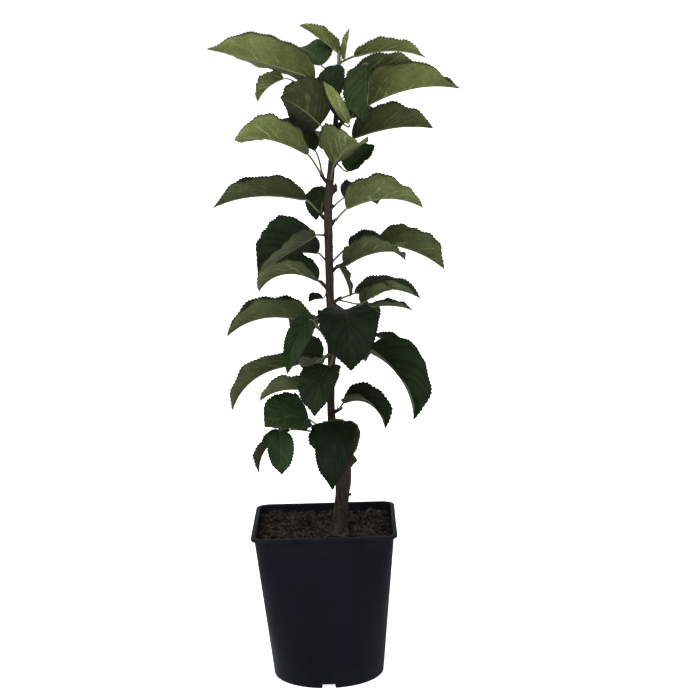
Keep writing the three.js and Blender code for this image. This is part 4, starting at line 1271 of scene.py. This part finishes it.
class TREE_OT_stalks(bpy.types.Operator):
    """Draws the leaf stalks on into raised midribs, with two small stipules to each"""
    bl_idname = "tree.stalks"
    bl_label = "Leaf stalks"

    def execute(self, context):
        sizes, colours = context.scene.tree_sizes, context.scene.tree_colours
        thick = sizes.petiole / MM / 2
        t, s = np.linspace(0, 1, STALK_ROWS)[:, None], np.linspace(0, RIB_END, RIB_ROWS)
        paths, radii, feet, aims, tints = [], [], [], [], []
        for _, leaf, start, base, _, tones, sway in grown():
            point, along, _, up = midrib(leaf, base, s, sway)
            away = heading(leaf.stalk_turn, leaf.stalk_rise)
            # The stalk leaves the spur straight and bends into the midrib.
            meet = unit(away + along[0]) * leaf.stalk * 0.8
            stalk = cubic(t, start, away * leaf.stalk, base, meet)
            girth = thick * min(1.1, 0.55 + leaf.long / 160)
            rib = np.maximum(girth * 0.82 * (1 - s) ** 0.75, RIB_LEAST)
            # The rib stays inside the blade's own outline where that is narrow.
            rib = np.minimum(rib, leaf.wide * 0.1 * blade_width(np.minimum(s + 0.02, 0.95)) + 0.12)
            below = point - up * ((rib + RIB_SUNK) * smooth(0.0, 0.05, s))[:, None]
            root = girth * (1 + 0.4 * np.exp(-t[:-1, 0] * leaf.stalk / STALK_FOOT))
            paths.append(np.vstack([stalk[:-1], below]))
            radii.append(np.concatenate([root, rib]))
            feet += [start] * 2
            aims += [away] * 2
            tints.append(tones)
        skin = Skin()
        woody = np.zeros(STALK_ROWS + RIB_ROWS - 1)
        woody[:STALK_ROWS] = np.linspace(STALK_WOOD, 0.0, STALK_ROWS)
        woody = np.hstack([woody[0], np.repeat(woody, STALK_SIDES), woody[-1]])
        rings = carry(np.array(paths), np.array(radii), STALK_SIDES)
        for path, ring, tones in zip(paths, rings, tints):
            noted = np.column_stack([np.tile(tones, (len(woody), 1)), woody])
            skin.add(ring, path[0], path[-1], leaf=noted)
        feet, aims = np.array(feet), np.array(aims)
        rng = np.random.default_rng(5)
        skew = unit(np.cross(aims, (0.3, 0.2, 0.93))) * np.tile([1, -1], len(paths))[:, None]
        reach = rng.uniform(*STIPULE_REACH, len(feet))
        climb = np.linspace(0, 1, len(STIPULE_SHAPE))[:, None]
        aim = unit(aims[:, None] + skew[:, None] * (0.75 - 0.5 * climb) + 0.25 * climb * (0, 0, 1))
        path = (feet + skew + aims * 1.6)[:, None] + np.cumsum(aim, 1) * (
            reach / len(STIPULE_SHAPE))[:, None, None]
        radii = np.full((len(feet), 1), STIPULE_HALF) * STIPULE_SHAPE
        for line, ring in zip(path, carry(path, radii, STIPULE_SIDES, STIPULE_FLAT)):
            skin.add(ring, line[0], line[-1], leaf=(0.35, 0.3, 0.45))
        skin.make("leaf_stalks", [stalk_material(colours)], "foliage",
                  [spur.name for spur in SPURS])
        return {"FINISHED"}


class TREE_OT_spurs(bpy.types.Operator):
    """Grows the short woody spurs with their end buds, and the leading shoot"""
    bl_idname = "tree.spurs"
    bl_label = "Spurs"

    def execute(self, context):
        colours = context.scene.tree_colours
        materials = [bark_material(colours, "young bark", 0.5),
                     stalk_material(colours, "leading shoot")]
        rng = np.random.default_rng(12)
        skin = Skin()
        for number, spur in enumerate(SPURS):
            root, direction = spur_line(spur)
            # The first is the leading shoot: it starts inside the trunk's tip, and is smoother.
            start, lumpy, finish = (0, 0.16, 0) if number else (-3.0, 0.06, 1)
            walk = np.linspace(start, spur.reach + SPUR_BUD, SPUR_ROWS)
            share = np.clip(walk / spur.reach, 0, 1)
            aside = unit(np.cross(direction, (0.2, 0.9, 0.4)))
            bend = np.sin(np.pi * share) * SPUR_BEND
            path = root + direction * walk[:, None] + aside * bend[:, None]
            scars = sum(SPUR_SCAR_RISE * bulge(walk, at, SPUR_SCAR_WIDTH)
                        for at in rng.uniform(0.45, 0.98, SPUR_SCARS) * spur.reach)
            past = np.clip((walk - spur.reach) / SPUR_BUD, 0, 1)
            bud = SPUR_END * (1 + 0.3 * np.sin(np.pi * np.minimum(past * 1.6, 1)))
            bud = bud * (1 - past ** 1.8)
            wood = mix(SPUR_FOOT, SPUR_END, share) + scars
            radius = np.where(past > 0, np.maximum(bud, 0.06), wood)
            ring = carry(path[None], radius[None], SPUR_SIDES)[0]
            ring = swollen(ring, path, lumpy * ripple(ring, 2.0, 41 + number, 2, 1.6))
            skin.add(ring, path[0], path[-1], finish, leaf=(0.55, 0.35, 0.25))
        skin.make("spurs", materials, "bark", [spur.name for spur in SPURS])
        return {"FINISHED"}


# ---- Studio --------------------------------------------------------------------------

CAMERA = (33.8, -2000.0, 701.8)      # millimetres
CAMERA_PITCH, CAMERA_ROLL = 0.165, -0.028   # radians, down and about the line of sight
CAMERA_LENS, FRAME_WIDTH, SENSOR = 1831.0, 700.0, 36.0
CAMERA_NEAR, CAMERA_FAR, FLOOR_REACH = 0.05, 200.0, 60.0   # metres
WHITE = (1.0, 1.0, 1.0, 1.0)
# The lamps: name, turn and rise of where each stands, strength, and the angle it fills.
LAMPS = [("key", 235, 48, 1.9, 70), ("fill", 300, 35, 0.75, 80), ("back", 80, 55, 0.85, 60)]


def stand(name, data, axes, at=(0, 0, 0)):
    """Puts a lamp or camera into the scene with its three axes and its place in metres."""
    thing = bpy.data.objects.new(name, data)
    bpy.context.scene.collection.objects.link(thing)
    placed = Matrix(np.column_stack(axes).tolist()).to_4x4()
    placed.translation = at
    thing.matrix_world = placed
    return thing


class TREE_OT_stage(bpy.types.Operator):
    """Sets the floor, the soft light and the camera"""
    bl_idname = "tree.stage"
    bl_label = "Studio"

    def execute(self, context):
        scene, colours = context.scene, context.scene.tree_colours
        mesh = bpy.data.meshes.new("studio_floor")
        corners = [(x * FLOOR_REACH, y * FLOOR_REACH, 0)
                   for x, y in ((-1, -1), (1, -1), (1, 1), (-1, 1))]
        mesh.from_pydata(corners, [], [(0, 1, 2, 3)])
        # A lit white table: the camera sees it glow, so shadows on it stay faint.
        material, tree = plain("studio floor", 0.9, 0.0)
        base = tuple(colours.floor)
        hue = tint(tree, place(tree, "mottle", "Patches", Size=600.0), shade(base, 0.99), base)
        glow = times(tree, add(tree, "LightPath", outlet="Is Camera Ray"), 0.82)
        feed(tree, tree.nodes["Principled BSDF"].inputs,
             {"Base Color": hue, "Emission Color": WHITE, "Emission Strength": glow})
        mesh.materials.append(material)
        floor = bpy.data.objects.new("studio_floor", mesh)
        scene.collection.objects.link(floor)
        floor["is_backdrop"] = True

        world = bpy.data.worlds.new("studio")
        scene.world = world
        world.use_nodes = True
        tree = world.node_tree
        tree.nodes.clear()
        seen = add(tree, "LightPath", outlet="Is Camera Ray")
        light = add(tree, "Background", {"Color": (0.93, 0.96, 1.0, 1.0), "Strength": 0.42})
        white = add(tree, "Background", {"Color": WHITE, "Strength": 1.05})
        both = add(tree, "MixShader", {0: seen, 1: light, 2: white})
        feed(tree, tree.nodes.new("ShaderNodeOutputWorld").inputs, {"Surface": both})

        for name, turn, rise, power, soft in LAMPS:
            lamp = bpy.data.lights.new(name, "SUN")
            lamp.energy, lamp.angle = power, np.radians(soft)
            back = heading(turn, rise)
            across = unit(np.cross((0, 0, 1), back))
            stand(name, lamp, [across, np.cross(back, across), back])

        data = bpy.data.cameras.new("camera")
        data.sensor_width = SENSOR
        data.lens = CAMERA_LENS / FRAME_WIDTH * SENSOR
        data.clip_start, data.clip_end = CAMERA_NEAR, CAMERA_FAR
        cosine, sine = np.cos(CAMERA_PITCH), np.sin(CAMERA_PITCH)
        right, up, toward = np.array([(1, 0, 0), (0, sine, cosine), (0, cosine, -sine)])
        cosine, sine = np.cos(CAMERA_ROLL), np.sin(CAMERA_ROLL)
        axes = [cosine * right + sine * up, cosine * up - sine * right, -toward]
        scene.camera = stand("camera", data, axes, np.array(CAMERA) * MM)
        scene.view_settings.view_transform = "Standard"
        return {"FINISHED"}


# ---- Panel and registration ----------------------------------------------------------

OPERATORS = (TREE_OT_pot, TREE_OT_compost, TREE_OT_trunk, TREE_OT_spurs, TREE_OT_stalks,
             TREE_OT_leaves, TREE_OT_stage)


class TREE_PT_panel(bpy.types.Panel):
    """The tree's sizes and colours, and a button for each of its pieces"""
    bl_idname = "TREE_PT_panel"
    bl_label = "Dwarf apple tree"
    bl_space_type = "VIEW_3D"
    bl_region_type = "UI"
    bl_category = "Tree"

    def draw(self, context):
        for values in (context.scene.tree_sizes, context.scene.tree_colours):
            box = self.layout.box()
            for name in values.__annotations__:
                box.prop(values, name)
        for operator in OPERATORS:
            self.layout.operator(operator.bl_idname)


CLASSES = (TreeSizes, TreeColours, *OPERATORS, TREE_PT_panel)


def register():
    """Adds the classes and hangs the sizes and colours on the scene."""
    for entry in CLASSES:
        bpy.utils.register_class(entry)
    bpy.types.Scene.tree_sizes = bpy.props.PointerProperty(type=TreeSizes)
    bpy.types.Scene.tree_colours = bpy.props.PointerProperty(type=TreeColours)


def unregister():
    """Takes back what register added, in the other order."""
    del bpy.types.Scene.tree_colours
    del bpy.types.Scene.tree_sizes
    for entry in reversed(CLASSES):
        bpy.utils.unregister_class(entry)


def main():
    """Builds the node groups, then every piece and the studio, and works out both boxes."""
    register()
    group("mottle", {"Size": 10.0, "Stretch": 1.0, "Detail": 4.0}, mottle_nodes)
    group("leaf veins", {"Pairs": 7.0, "Width": 0.5}, vein_nodes)
    group("vein net", {"Size": 1.6}, net_nodes)
    for operator in OPERATORS:
        getattr(bpy.ops.tree, operator.bl_idname.split(".")[1])()
    boxes = {"cad": CAD_BOX, "visual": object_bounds()}
    {name: [list(corner) for corner in box] for name, box in boxes.items()}


if __name__ == "__main__":
    main()
